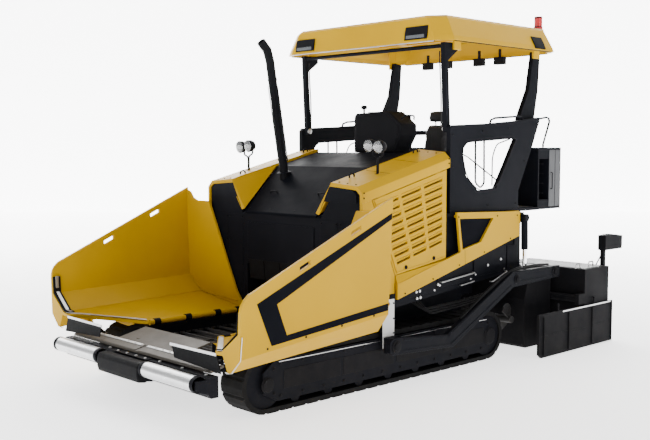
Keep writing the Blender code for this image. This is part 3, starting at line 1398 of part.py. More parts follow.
# ================================================================ the machine
def build():
    start_empty()
    yellow = look("yellow_paint", (0.80, 0.45, 0.01), 0.35, 0.0)
    black = look("black_paint", (0.012, 0.013, 0.016), 0.45, 0.0)
    dark = look("dark_steel", (0.03, 0.03, 0.033), 0.55, 0.4)
    steel = look("bright_steel", (0.70, 0.70, 0.71), 0.25, 1.0)
    rubber = look("track_shoes", (0.02, 0.02, 0.02), 0.8, 0.0)
    taupe = look("apron_paint", (0.12, 0.11, 0.09), 0.6, 0.0)
    cloth = look("seat_cover", (0.02, 0.02, 0.022), 0.8, 0.0)
    red = look("beacon_red", (0.45, 0.01, 0.01), 0.2, 0.0)
    build_main_frame(black)
    build_engine(dark)
    build_conveyor(dark)
    build_tracks(rubber)
    build_track_frames(black)
    build_wings(yellow)
    build_wing_cylinders(black, steel)
    build_front_apron(taupe)
    build_push_beam(black)
    build_push_rollers(steel)
    build_covers(yellow)
    build_hood(black)
    build_hopper_wall(black)
    build_grille_doors(yellow)
    build_side_covers(yellow)
    build_platform(black)
    build_seats(cloth)
    build_console(black)
    build_side_frames(black)
    build_lockers(black)
    build_exhaust(black)
    build_canopy(yellow)
    build_rear_roof_frame(black)
    build_front_roof_frame(black)
    build_beacon(red)
    build_augers(dark)
    build_tow_points(black)
    build_tow_arms(black)
    build_screed(dark)
    build_extensions(dark)
    build_gates(black)
    build_lift_cylinders(black, steel)
    build_control_boxes(black)


build()
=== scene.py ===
import math

import bmesh
import bpy
from mathutils import Matrix, Vector


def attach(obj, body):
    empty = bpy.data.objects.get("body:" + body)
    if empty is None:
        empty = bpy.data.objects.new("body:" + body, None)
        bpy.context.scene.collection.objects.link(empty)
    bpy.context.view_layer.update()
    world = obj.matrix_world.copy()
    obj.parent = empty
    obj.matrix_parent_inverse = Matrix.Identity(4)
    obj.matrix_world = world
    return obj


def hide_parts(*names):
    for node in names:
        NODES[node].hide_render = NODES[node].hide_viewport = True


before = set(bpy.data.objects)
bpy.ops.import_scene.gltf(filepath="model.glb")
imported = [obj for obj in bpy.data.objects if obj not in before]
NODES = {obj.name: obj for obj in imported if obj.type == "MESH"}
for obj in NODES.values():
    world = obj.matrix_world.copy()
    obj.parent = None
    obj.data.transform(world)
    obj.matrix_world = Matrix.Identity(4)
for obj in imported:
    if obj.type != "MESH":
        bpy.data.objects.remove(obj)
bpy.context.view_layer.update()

# Faces of the CAD parts that details sit on, in metres.
COVER_X = 1.31
TANK_X = 1.2004
TANK_DOOR_X = 1.212
GRILLE_X = 1.2765
GUARD_X = 1.262
WINDOW_X = 1.205
FRAME_X = 1.235
ARM_X = 1.43
ARM_RIB_X = 1.4325
GATE_STRIP_X = 1.6712
WALL_PLATE_Y = -1.1895
CONVEYOR_Z = 0.4655
SEAT_X = 0.36
PAD_SWELL = 0.022
PAD_FRAMES = 20
BEACON = (1.095, 2.07)


# ================================================================ shading
class Graph:
    """A material's node tree, with short calls for the nodes used here."""

    def __init__(self, name):
        self.material = bpy.data.materials.new(name)
        self.material.use_nodes = True
        self.tree = self.material.node_tree
        self.shader = self.tree.nodes["Principled BSDF"]
        self.object = self.node("ShaderNodeTexCoord").outputs["Object"]

    def node(self, kind, **values):
        made = self.tree.nodes.new(kind)
        for key, value in values.items():
            setattr(made, key, value)
        return made

    def plug(self, socket, value):
        if isinstance(value, bpy.types.NodeSocket):
            self.tree.links.new(value, socket)
        elif isinstance(value, (tuple, list)) and len(value) == 3 and socket.type == "RGBA":
            socket.default_value = (*value, 1.0)
        else:
            socket.default_value = value

    def stretched(self, stretch, turn=(0, 0, 0)):
        mapping = self.node("ShaderNodeMapping")
        self.plug(mapping.inputs["Vector"], self.object)
        mapping.inputs["Scale"].default_value = stretch
        mapping.inputs["Rotation"].default_value = turn
        return mapping.outputs["Vector"]

    def noise(self, scale, detail=4.0, rough=0.55, stretch=(1, 1, 1), distort=0.0):
        made = self.node("ShaderNodeTexNoise")
        self.plug(made.inputs["Vector"], self.stretched(stretch))
        made.inputs["Scale"].default_value = scale
        made.inputs["Detail"].default_value = detail
        made.inputs["Roughness"].default_value = rough
        made.inputs["Distortion"].default_value = distort
        return made.outputs["Fac"]

    def cells(self, scale, feature="F1", stretch=(1, 1, 1)):
        made = self.node("ShaderNodeTexVoronoi", feature=feature)
        self.plug(made.inputs["Vector"], self.stretched(stretch))
        made.inputs["Scale"].default_value = scale
        return made.outputs["Distance"]

    def ramp(self, value, low, high, start=0.0, end=1.0):
        made = self.node("ShaderNodeMapRange")
        self.plug(made.inputs["Value"], value)
        made.inputs["From Min"].default_value = low
        made.inputs["From Max"].default_value = high
        made.inputs["To Min"].default_value = start
        made.inputs["To Max"].default_value = end
        return made.outputs["Result"]

    def math(self, operation, a, b=0.0):
        made = self.node("ShaderNodeMath", operation=operation)
        self.plug(made.inputs[0], a)
        self.plug(made.inputs[1], b)
        return made.outputs[0]

    def mix(self, share, a, b):
        made = self.node("ShaderNodeMix", data_type="RGBA")
        self.plug(made.inputs["Factor"], share)
        self.plug(made.inputs[6], a)
        self.plug(made.inputs[7], b)
        return made.outputs[2]

    def height(self):
        split = self.node("ShaderNodeSeparateXYZ")
        self.plug(split.inputs[0], self.object)
        return split.outputs["Z"]

    def edges(self, radius):
        """How far the surface bends within a radius: 0 on flats, near 1 on sharp edges."""
        bevel = self.node("ShaderNodeBevel", samples=4)
        bevel.inputs["Radius"].default_value = radius
        normal = self.node("ShaderNodeNewGeometry").outputs["Normal"]
        dot = self.node("ShaderNodeVectorMath", operation="DOT_PRODUCT")
        self.plug(dot.inputs[0], bevel.outputs["Normal"])
        self.plug(dot.inputs[1], normal)
        return self.ramp(dot.outputs["Value"], 0.995, 0.80)

    def bump(self, height, strength, distance, below=None):
        made = self.node("ShaderNodeBump")
        made.inputs["Strength"].default_value = strength
        made.inputs["Distance"].default_value = distance
        self.plug(made.inputs["Height"], height)
        if below is not None:
            self.plug(made.inputs["Normal"], below)
        return made.outputs["Normal"]

    def set(self, name, value):
        self.plug(self.shader.inputs[name], value)


def dusty(g, colour, rough, amount, top=1.3, dust=(0.12, 0.105, 0.085)):
    """A film of dust that thickens toward the ground."""
    low = g.ramp(g.height(), top, 0.0)
    film = g.math("MULTIPLY", g.math("MULTIPLY", low, g.ramp(g.noise(6.0, 8.0, 0.7), 0.35, 0.75)), amount)
    return g.mix(film, colour, dust), g.math("ADD", rough, g.math("MULTIPLY", film, 0.35))


def paint(name, colour, shade, rough, spec, worn_to, wear=0.5, dust=0.3, peel=0.05):
    """Machine paint: soft colour drift, orange peel, chipped edges, dust low down."""
    g = Graph(name)
    base = g.mix(g.ramp(g.noise(0.9, 3.0), 0.35, 0.68), colour, shade)
    blotch = g.ramp(g.noise(11.0, 7.0, 0.7), 0.42, 0.72)
    base = g.mix(g.math("MULTIPLY", blotch, 0.10), base, shade)
    chips = g.math("MULTIPLY", g.edges(0.006), g.ramp(g.noise(45.0, 8.0, 0.75), 0.50, 0.60))
    base = g.mix(g.math("MULTIPLY", chips, wear), base, worn_to)
    streaks = g.ramp(g.noise(30.0, 6.0, 0.6, stretch=(1.0, 1.0, 0.05)), 0.55, 0.75)
    roughness = g.math("ADD", g.ramp(g.noise(5.0, 6.0, 0.65), 0.3, 0.7, rough - 0.05, rough + 0.08),
                       g.math("MULTIPLY", streaks, 0.06))
    base, roughness = dusty(g, base, roughness, dust)
    g.set("Base Color", base)
    g.set("Roughness", roughness)
    g.set("Specular IOR Level", spec)
    soft = g.bump(g.noise(4.0, 2.0), 0.10, 0.01)
    g.set("Normal", g.bump(g.noise(330.0, 2.0), peel, 0.001, soft))
    return g.material


def bare_metal(name, colour, rough, stretch=(1, 1, 1), metallic=1.0, dust=0.2, scale=60.0):
    """Bare or plated steel, brushed along one direction, with fingerprints of dirt."""
    g = Graph(name)
    lines = g.noise(scale, 6.0, 0.7, stretch=stretch)
    base = g.mix(g.ramp(lines, 0.3, 0.7), colour, tuple(c * 0.78 for c in colour))
    dirt = g.ramp(g.noise(7.0, 8.0, 0.75), 0.55, 0.80)
    base = g.mix(g.math("MULTIPLY", dirt, 0.35), base, (0.10, 0.09, 0.08))
    roughness = g.math("ADD", g.ramp(lines, 0.3, 0.7, rough - 0.05, rough + 0.10),
                       g.math("MULTIPLY", dirt, 0.2))
    base, roughness = dusty(g, base, roughness, dust)
    g.set("Base Color", base)
    g.set("Metallic", metallic)
    g.set("Roughness", roughness)
    g.set("Normal", g.bump(lines, 0.12, 0.001))
    return g.material


def rubber(name, colour, rough, dust):
    """Moulded rubber with a fine grain, scuffs and dust."""
    g = Graph(name)
    scuff = g.ramp(g.noise(18.0, 8.0, 0.8), 0.5, 0.8)
    base = g.mix(g.math("MULTIPLY", scuff, 0.5), colour, tuple(c * 2.2 + 0.002 for c in colour))
    base, roughness = dusty(g, base, rough, dust, top=0.9, dust=(0.06, 0.055, 0.048))
    g.set("Base Color", base)
    g.set("Roughness", roughness)
    g.set("Specular IOR Level", 0.06)
    grain = g.bump(g.noise(420.0, 3.0, 0.6), 0.35, 0.001)
    g.set("Normal", g.bump(g.noise(25.0, 6.0, 0.7), 0.25, 0.003, grain))
    return g.material


def vinyl(name, colour):
    """Seat vinyl: leather grain, soft sheen that varies at random."""
    g = Graph(name)
    cell = g.cells(260.0, "F1")
    base = g.mix(g.ramp(g.noise(9.0, 5.0), 0.3, 0.75), colour, tuple(c * 1.9 for c in colour))
    g.set("Base Color", base)
    g.set("Roughness", g.ramp(g.noise(6.0, 5.0), 0.3, 0.7, 0.42, 0.62))
    g.set("Specular IOR Level", 0.25)
    grain = g.bump(cell, 0.35, 0.0015)
    g.set("Normal", g.bump(g.noise(60.0, 4.0), 0.15, 0.002, grain))
    return g.material


def plate_paint(name, colour, rough):
    """Raised-pattern tread plate under paint."""
    g = Graph(name)
    bars = []
    for turn, shift in ((math.radians(45), 0.0), (math.radians(-45), 0.5)):
        wave = g.node("ShaderNodeTexWave", wave_type="BANDS", bands_direction="X")
        g.plug(wave.inputs["Vector"], g.stretched((1, 1, 1), (0, 0, turn)))
        wave.inputs["Scale"].default_value = 11.0
        cross = g.node("ShaderNodeTexWave", wave_type="BANDS", bands_direction="Y")
        g.plug(cross.inputs["Vector"], g.stretched((1, 1, 1), (0, 0, turn)))
        cross.inputs["Scale"].default_value = 5.5
        cross.inputs["Phase Offset"].default_value = shift * 6.0
        bars.append(g.math("MULTIPLY", g.ramp(wave.outputs["Fac"], 0.75, 0.9),
                           g.ramp(cross.outputs["Fac"], 0.55, 0.7)))
    pattern = g.math("MAXIMUM", bars[0], bars[1])
    worn = g.math("MULTIPLY", pattern, g.ramp(g.noise(5.0, 6.0, 0.7), 0.4, 0.65))
    base = g.mix(g.ramp(g.noise(2.0, 4.0), 0.3, 0.7), colour, tuple(c * 1.5 for c in colour))
    base = g.mix(g.math("MULTIPLY", worn, 0.5), base, (0.22, 0.22, 0.22))
    g.set("Base Color", base)
    g.set("Metallic", g.math("MULTIPLY", worn, 0.6))
    g.set("Roughness", g.ramp(g.noise(8.0, 6.0), 0.3, 0.7, rough - 0.08, rough + 0.1))
    g.set("Normal", g.bump(pattern, 0.6, 0.003))
    return g.material


def lens(name, colour, weight, rough=0.05):
    """Clear or tinted lens with moulded flutes."""
    g = Graph(name)
    g.set("Base Color", g.mix(g.ramp(g.noise(30.0, 3.0), 0.3, 0.7), colour, tuple(c * 0.85 for c in colour)))
    g.set("Transmission Weight", weight)
    g.set("Roughness", rough)
    g.set("IOR", 1.5)
    g.set("Coat Weight", 0.6)
    g.set("Normal", g.bump(g.cells(120.0), 0.2, 0.001))
    return g.material


def screen_glass(name):
    """A dark display with a faint glow of rows."""
    g = Graph(name)
    rows = g.node("ShaderNodeTexBrick")
    g.plug(rows.inputs["Vector"], g.stretched((1, 1, 1), (math.radians(90), 0, 0)))
    rows.inputs["Scale"].default_value = 30.0
    rows.inputs["Color1"].default_value = (0.02, 0.05, 0.07, 1)
    rows.inputs["Color2"].default_value = (0.03, 0.08, 0.10, 1)
    rows.inputs["Mortar"].default_value = (0.005, 0.006, 0.008, 1)
    g.set("Base Color", rows.outputs["Color"])
    g.set("Emission Color", rows.outputs["Color"])
    g.set("Emission Strength", 0.4)
    g.set("Roughness", g.ramp(g.noise(12.0, 6.0), 0.3, 0.7, 0.06, 0.16))
    return g.material


YELLOW = paint("yellow_paint_skin", (0.47, 0.272, 0.0), (0.42, 0.238, 0.0), 0.36, 0.06, (0.16, 0.13, 0.09),
               0.5, 0.04)
# Painted shade: a more orange copy of the yellow paint, the tone the yellow takes in shade, as inside the
# hopper; the roof ribs wear it.
YELLOW_SHADED = paint("yellow_hopper_skin", (0.50, 0.262, 0.0), (0.43, 0.21, 0.0), 0.42, 0.05,
                  (0.20, 0.17, 0.13), 0.6, 0.05)
BLACK = paint("black_paint_skin", (0.0038, 0.0044, 0.0065), (0.0065, 0.007, 0.010), 0.46, 0.03,
              (0.05, 0.05, 0.05), 0.4, 0.05)
GLOSS = paint("gloss_black_skin", (0.0030, 0.0034, 0.0052), (0.005, 0.0055, 0.008), 0.45, 0.01,
              (0.04, 0.04, 0.04), 0.3, 0.01)
SATIN = paint("satin_black_skin", (0.0055, 0.0056, 0.0068), (0.009, 0.009, 0.0105), 0.55, 0.03,
              (0.06, 0.06, 0.06), 0.45, 0.06)
TAUPE = paint("apron_skin", (0.085, 0.074, 0.058), (0.058, 0.050, 0.040), 0.48, 0.3, (0.20, 0.19, 0.17),
              0.7, 0.2)
WHITE = paint("white_paint_skin", (0.62, 0.63, 0.64), (0.52, 0.52, 0.52), 0.38, 0.4, (0.2, 0.19, 0.17),
              0.5, 0.2)
RED = paint("red_paint_skin", (0.50, 0.010, 0.008), (0.36, 0.008, 0.007), 0.35, 0.4, (0.15, 0.08, 0.08),
            0.4, 0.1)
CAST = bare_metal("cast_steel_skin", (0.020, 0.020, 0.021), 0.55, metallic=0.4, dust=0.25, scale=25.0)
STEEL = bare_metal("roller_steel_skin", (0.78, 0.79, 0.80), 0.30, stretch=(6.0, 0.3, 0.3), dust=0.08)
ZINC = bare_metal("zinc_skin", (0.62, 0.62, 0.62), 0.34, dust=0.12, scale=90.0)
CHROME = bare_metal("chrome_skin", (0.88, 0.88, 0.89), 0.08, stretch=(1, 1, 0.2), dust=0.03)
SHOE = rubber("track_rubber_skin", (0.0075, 0.0075, 0.0078), 0.72, 0.16)
FLAP = rubber("flap_rubber_skin", (0.0045, 0.0048, 0.0058), 0.6, 0.12)
HOSE = rubber("hose_rubber_skin", (0.0055, 0.0055, 0.006), 0.5, 0.1)
SEAT = vinyl("seat_vinyl_skin", (0.006, 0.006, 0.0072))
TREAD = plate_paint("tread_plate_skin", (0.014, 0.014, 0.016), 0.5)
GREY = paint("grey_panel_skin", (0.055, 0.057, 0.062), (0.045, 0.046, 0.05), 0.45, 0.3, (0.15, 0.15, 0.15),
             0.3, 0.1)
MESH = plate_paint("mesh_skin", (0.0035, 0.0035, 0.004), 0.7)
DIM = lens("dark_lens_skin", (0.10, 0.11, 0.12), 0.1, 0.1)
LENS = lens("clear_lens_skin", (0.92, 0.95, 0.97), 0.85)
RED_LENS = lens("red_lens_skin", (0.62, 0.008, 0.012), 0.2, 0.12)
SCREEN = screen_glass("screen_skin")


# ================================================================ shapes
def outward(shape):
    bmesh.ops.recalc_face_normals(shape, faces=shape.faces)
    if shape.calc_volume(signed=True) < 0:
        bmesh.ops.reverse_faces(shape, faces=shape.faces)
    return shape


def loft(sections, closed=False):
    shape = bmesh.new()
    rings = [[shape.verts.new(p) for p in section] for section in sections]
    count = len(rings[0])
    pairs = list(zip(rings, rings[1:])) + ([(rings[-1], rings[0])] if closed else [])
    for ring, after in pairs:
        for i in range(count):
            j = (i + 1) % count
            shape.faces.new((ring[i], ring[j], after[j], after[i]))
    if not closed:
        shape.faces.new(rings[0])
        shape.faces.new(rings[-1])
    return outward(shape)


def prism(axis, outline, low, high):
    place = {
        "x": lambda a, b, t: (t, a, b),
        "y": lambda a, b, t: (a, t, b),
        "z": lambda a, b, t: (a, b, t),
    }[axis]
    return loft([[place(a, b, t) for a, b in outline] for t in (low, high)])


def box(x, y, z):
    x, y = sorted(x), sorted(y)
    return prism("z", [(x[0], y[0]), (x[1], y[0]), (x[1], y[1]), (x[0], y[1])], *z)


def slab(corners, thickness):
    """A plate on a flat outline of 3-D points, thickened along its normal."""
    points = [Vector(c) for c in corners]
    normal = (points[1] - points[0]).cross(points[2] - points[1]).normalized()
    return loft([points, [p + normal * thickness for p in points]])


def across(direction):
    along = Vector(direction).normalized()
    side = along.orthogonal().normalized()
    return side, along.cross(side)


def rod(start, end, radius, segments=20, top=None):
    start, end = Vector(start), Vector(end)
    side, up = across(end - start)
    rings = []
    for centre, r in ((start, radius), (end, radius if top is None else top)):
        rings.append([centre + r * (side * math.cos(a) + up * math.sin(a))
                      for a in (2 * math.pi * i / segments for i in range(segments))])
    return loft(rings)


def turned(profile, origin, direction, segments=28):
    """A turned body: profile pairs (distance along the axis, radius)."""
    origin, along = Vector(origin), Vector(direction).normalized()
    side, up = across(along)
    rings = []
    for at, radius in profile:
        r = max(radius, 0.0002)
        rings.append([origin + along * at + r * (side * math.cos(a) + up * math.sin(a))
                      for a in (2 * math.pi * i / segments for i in range(segments))])
    return loft(rings)


def tube(points, radius, segments=10, bend=5):
    """A round bar or hose through points, with its corners rounded."""
    points = [Vector(p) for p in points]
    route = [points[0]]
    for before, here, after in zip(points, points[1:], points[2:]):
        cut = min((here - before).length, (after - here).length) * 0.35
        a = here + (before - here).normalized() * cut
        b = here + (after - here).normalized() * cut
        for i in range(bend + 1):
            t = i / bend
            route.append(a.lerp(here, t).lerp(here.lerp(b, t), t))
    route.append(points[-1])
    side, _ = across(route[1] - route[0])
    rings = []
    for i, point in enumerate(route):
        ahead = route[min(i + 1, len(route) - 1)] - route[max(i - 1, 0)]
        along = ahead.normalized()
        side = (side - along * side.dot(along)).normalized()
        up = along.cross(side)
        rings.append([point + radius * (side * math.cos(a) + up * math.sin(a))
                      for a in (2 * math.pi * k / segments for k in range(segments))])
    return loft(rings)


def hex_bolt(at, direction, size=0.010, head=0.007):
    """A washer and a hexagon head."""
    at, along = Vector(at), Vector(direction).normalized()
    washer = rod(at, at + along * head * 0.3, size * 1.25, 14)
    cap = rod(at + along * head * 0.2, at + along * head, size, 6)
    return [washer, cap]


class Piece:
    """Shapes that become one object on one body."""

    def __init__(self, name, body, material, slot="black_paint", bevel=0.002, segments=2):
        self.name, self.body, self.material, self.slot = name, body, material, slot
        self.bevel, self.segments = bevel, segments
        self.mesh = bmesh.new()

    def add(self, *shapes):
        for shape in shapes:
            if isinstance(shape, list):
                self.add(*shape)
                continue
            data = bpy.data.meshes.new("part")
            shape.to_mesh(data)
            shape.free()
            self.mesh.from_mesh(data)
            bpy.data.meshes.remove(data)
        return self

    def mirror(self, name, body):
        other = Piece(name, body, self.material, self.slot, self.bevel, self.segments)
        other.mesh = self.mesh.copy()
        bmesh.ops.scale(other.mesh, vec=(-1, 1, 1), verts=other.mesh.verts)
        bmesh.ops.reverse_faces(other.mesh, faces=other.mesh.faces)
        return other

    def done(self):
        data = bpy.data.meshes.new(self.name)
        self.mesh.to_mesh(data)
        self.mesh.free()
        thing = bpy.data.objects.new(self.name, data)
        bpy.context.scene.collection.objects.link(thing)
        data.materials.append(self.material)
        data.shade_smooth()
        if self.bevel:
            soften(thing, self.bevel, self.segments)
        else:
            data.set_sharp_from_angle(angle=math.radians(35))
        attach(thing, self.body)
        return thing


def soften(thing, width, segments=2, angle=32):
    """Rounded edges with clean shading."""
    bevel = thing.modifiers.new("edges", "BEVEL")
    bevel.width = width
    bevel.segments = segments
    bevel.limit_method = "ANGLE"
    bevel.angle_limit = math.radians(angle)
    bevel.use_clamp_overlap = True
    bevel.harden_normals = False
    thing.modifiers.new("shading", "WEIGHTED_NORMAL").keep_sharp = True


def piece(name, body, material, shapes, slot="black_paint", bevel=0.002, segments=2):
    return Piece(name, body, material, slot, bevel, segments).add(*shapes).done()


def both(name, bodies, material, shapes, slot="black_paint", bevel=0.002, segments=2):
    """A left piece and its mirror copy."""
    left = Piece(f"{name}_left", bodies[0], material, slot, bevel, segments).add(*shapes)
    right = left.mirror(f"{name}_right", bodies[1])
    return left.done(), right.done()


BASE = ("chassis", "chassis")
WINGS = ("wing_left", "wing_right")
ARMS = ("screed", "screed")
EXTENSIONS = ("extension_left", "extension_right")
GATES = ("gate_left", "gate_right")
SEATS = ("left_seat", "right_seat")
SEAT_NODES = ("seat_left", "seat_right")


# ================================================================ view
def set_camera():
    data = bpy.data.cameras.new("camera")
    data.lens = 955.2 / 650 * 36
    data.sensor_width = 36
    data.clip_end = 200
    camera = bpy.data.objects.new("camera", data)
    camera.location = (7.88, -8.025, 2.46)
    camera.rotation_euler = (math.radians(90 - 4.34), 0, math.radians(46.34))
    bpy.context.scene.collection.objects.link(camera)
    bpy.context.scene.camera = camera


def area_light(name, at, target, size, power, colour=(1, 1, 1)):
    data = bpy.data.lights.new(name, "AREA")
    data.shape = "RECTANGLE"
    data.size, data.size_y = size
    data.energy = power
    data.color = colour
    lamp = bpy.data.objects.new(name, data)
    lamp.location = at
    lamp.rotation_euler = (Vector(target) - Vector(at)).to_track_quat("-Z", "Y").to_euler()
    bpy.context.scene.collection.objects.link(lamp)


def stage_plane(name, size, place, glow, near=1.0):
    """A bright, faintly mottled sheet of the studio, with a painted shadow: its glow is dimmer around the
    machine by near.
    """
    g = Graph(name + "_skin")
    g.set("Base Color", g.mix(g.noise(0.4, 3.0), (0.95, 0.95, 0.95), (0.92, 0.92, 0.92)))
    g.set("Roughness", 0.9)
    g.set("Specular IOR Level", 0.1)
    g.set("Emission Color", (1.0, 1.0, 1.0))
    span = g.node("ShaderNodeVectorMath", operation="LENGTH")
    g.plug(span.inputs[0], g.object)
    # Painted shadow: the glow falls to near times glow within 4 m of the origin, a soft shadow around the
    # machine's base.
    g.set("Emission Strength", g.ramp(span.outputs["Value"], 4.0, 15.0, near * glow, glow))
    shape = bmesh.new()
    bmesh.ops.create_grid(shape, x_segments=1, y_segments=1, size=size)
    shape.transform(place)
    data = bpy.data.meshes.new(name)
    shape.to_mesh(data)
    shape.free()
    data.materials.append(g.material)
    thing = bpy.data.objects.new(name, data)
    bpy.context.scene.collection.objects.link(thing)


def set_stage():
    world = bpy.data.worlds.new("studio")
    world.use_nodes = True
    world.node_tree.nodes["Background"].inputs[0].default_value = (1, 1, 1, 1)
    world.node_tree.nodes["Background"].inputs[1].default_value = 0.55
    bpy.context.scene.world = world
    area_light("key", (3.0, -9.5, 7.5), (0, -0.5, 1.0), (5, 4), 170)
    area_light("side", (9.5, 1.5, 6.0), (0, 0, 1.2), (5, 5), 150)
    area_light("top", (-1.0, 0.5, 9.0), (0, 0, 1.5), (7, 7), 330)
    # The floor's glow falls to 0.35 of its strength near the machine: a painted shadow.
    stage_plane("floor", 40, Matrix.Identity(4), 5.2, 0.35)
    turn = Matrix.Rotation(math.radians(46.3), 4, "Z") @ Matrix.Rotation(math.radians(90), 4, "X")
    stage_plane("backdrop", 40, Matrix.Translation((-18.0, 18.8, 0.0)) @ turn, 5.2)


# ================================================================ CAD nodes
def dress_nodes():
    """Give every CAD part its material, and slightly rounded edges where a width is given."""
    looks = {
        "auger": (CAST, 0.003), "beacon": (RED_LENS, 0.004), "console": (SATIN, 0.015),
        "control_box": (SATIN, 0.008), "conveyor": (CAST, 0.004), "end_gate": (SATIN, 0.004),
        "engine_block": (CAST, 0.01), "engine_cover": (YELLOW, 0.006), "exhaust_stack": (SATIN, 0.0),
        "front_apron": (TAUPE, 0.003), "grille_door": (YELLOW, 0.0), "hood": (GLOSS, 0.008),
        "hopper_rear_wall": (BLACK, 0.004), "hopper_wing": (YELLOW, 0.006),
        "lift_cylinder": (BLACK, 0.003), "lift_rod": (CHROME, 0.0), "locker": (BLACK, 0.004),
        "main_frame": (BLACK, 0.004), "platform": (BLACK, 0.003), "push_beam": (BLACK, 0.006),
        "push_roller": (STEEL, 0.004), "roof_canopy": (YELLOW, 0.012), "roof_front_frame": (BLACK, 0.006),
        "roof_rear_frame": (BLACK, 0.008), "screed_extension": (SATIN, 0.005), "screed_main": (SATIN, 0.006),
        "seat": (SEAT, 0.02), "side_cover": (YELLOW, 0.008), "side_frame": (BLACK, 0.006),
        "tow_arm": (BLACK, 0.006), "tow_point": (BLACK, 0.004), "track_frame": (BLACK, 0.003),
        "track": (SHOE, 0.0), "wing_cylinder": (BLACK, 0.003), "wing_rod": (CHROME, 0.0),
    }
    for name, thing in NODES.items():
        stem = name.replace("_left", "").replace("_right", "")
        material, width = looks[stem]
        thing.data.materials.clear()
        thing.data.materials.append(material)
        if width:
            weld = thing.modifiers.new("weld", "WELD")
            weld.merge_threshold = 0.00005
            soften(thing, width, 2)


# ================================================================ hopper
def wing_face(y, z, out=0.0):
    """A point on the outer face of the left wing."""
    return (1.63 + 0.05 * (z - 0.66) + out, y, z)


def wing_details():
    """Stripe, edge strips, lip, clamps, ribs, bolts, welds and hinge knuckles of the wings."""
    stripe = [(-2.885, 1.128), (-1.222, 1.832), (-1.222, 1.772), (-2.658, 1.102),
              (-2.532, 0.812), (-1.222, 0.948), (-1.222, 0.878), (-2.706, 0.739)]
    shape = loft([[wing_face(y, z, out) for y, z in stripe] for out in (-0.002, 0.0018)])
    both("wing_stripe", WINGS, GLOSS, [shape], bevel=0.0)
    rear, front = -1.216, -3.06
    # steel strips along the floor's front edge
    floor_edge = []
    for share in (0.0, 0.33, 0.66, 1.0):
        y = front + 0.004 + share * 0.55
        x = 1.30 - 0.70 * share
        floor_edge.append((x + 0.02, y, 0.70 - 0.055 * share + 0.006))
    strips = []
    for a, b in zip(floor_edge, floor_edge[1:]):
        strips.append(slab([(a[0], a[1], a[2]), (b[0], b[1], b[2]), (b[0] + 0.05, b[1] + 0.02, b[2] + 0.002),
                            (a[0] + 0.05, a[1] + 0.02, a[2] + 0.002)], 0.004))
    both("wing_floor_strip", WINGS, ZINC, strips, "bright_steel", 0.001)
    # front rubber lip with its clamp strip, along the front edge
    lip = [(1.30, 0.705), (1.38, 0.712), (1.597, 0.89), (1.607, 1.06)]
    rubber_shapes, clamp_shapes, bolts = [], [], []
    for (xa, za), (xb, zb) in zip(lip, lip[1:]):
        rubber_shapes.append(slab([(xa, front + 0.002, za), (xb, front + 0.002, zb),
                                   (xb, front + 0.09, zb), (xa, front + 0.09, za)], 0.008))
        clamp_shapes.append(slab([(xa - 0.001, front + 0.03, za + 0.009),
                                  (xb - 0.008, front + 0.03, zb + 0.003),
                                  (xb - 0.008, front + 0.065, zb + 0.003),
                                  (xa - 0.001, front + 0.065, za + 0.009)], 0.005))
    both("wing_lip", WINGS, FLAP, rubber_shapes, None, 0.001)
    # lower skirt strips at the front corner
    skirt = [(1.44, 0.515, front + 0.012), (1.515, 0.53, front + 0.012), (1.632, 0.655, front + 0.012),
             (1.648, 0.86, front + 0.02)]
    for (xa, za, ya), (xb, zb, yb) in zip(skirt, skirt[1:]):
        clamp_shapes.append(loft([[(xa, ya - 0.004, za), (xb, yb - 0.004, zb),
                                   (xb - 0.028, yb - 0.004, zb + 0.008),
                                   (xa - 0.028, ya - 0.004, za + 0.012)],
                                  [(xa, ya + 0.004, za), (xb, yb + 0.004, zb),
                                   (xb - 0.028, yb + 0.004, zb + 0.008),
                                   (xa - 0.028, ya + 0.004, za + 0.012)]]))
    both("wing_clamp", WINGS, ZINC, clamp_shapes, "bright_steel", 0.0015)
    for y in (-2.75, -2.30, -1.85, -1.42):
        share = (y - front) / 1.845
        z = 0.66 + 0.18 * share
        bolts.append(hex_bolt(wing_face(y, z + 0.03, -0.001), (1, 0, 0), 0.009, 0.006))
    # stiffening ribs under the floor and behind the side
    ribs = []
    for y in (-2.62, -2.12, -1.62, -1.26):
        rise = 0.05 * (y - front) / 1.845
        ribs.append(prism("y", [(0.68, 0.60 + rise), (1.37, 0.655 + rise), (1.46, 0.60 + rise),
                                (1.36, 0.60 + rise), (0.80, 0.575)],
                          y - 0.006, y + 0.006))
    both("wing_rib", WINGS, YELLOW, ribs, "yellow_paint", 0.002)
    both("wing_bolts", WINGS, BLACK, bolts, bevel=0.0)
    # weld seams
    seam = [tube([(0.68, rear - 0.03, 0.712), (1.38, rear - 0.03, 0.752), (1.588, rear - 0.03, 0.935)],
                 0.007, 8)]
    seam.append(tube([(1.38, front + 0.10, 0.704), (1.38, rear - 0.03, 0.752)], 0.004, 6))
    both("wing_weld", WINGS, YELLOW, seam, "yellow_paint", 0.0)
    # hinge knuckles
    knuckles = []
    for y in (-2.40, -2.0, -1.6, -1.30):
        knuckles.append(turned([(0, 0.031), (0.004, 0.038), (0.076, 0.038), (0.08, 0.031)],
                               (0.60, y - 0.04, 0.62), (0, 1, 0), 24))
    both("wing_knuckle", WINGS, BLACK, knuckles, bevel=0.0)


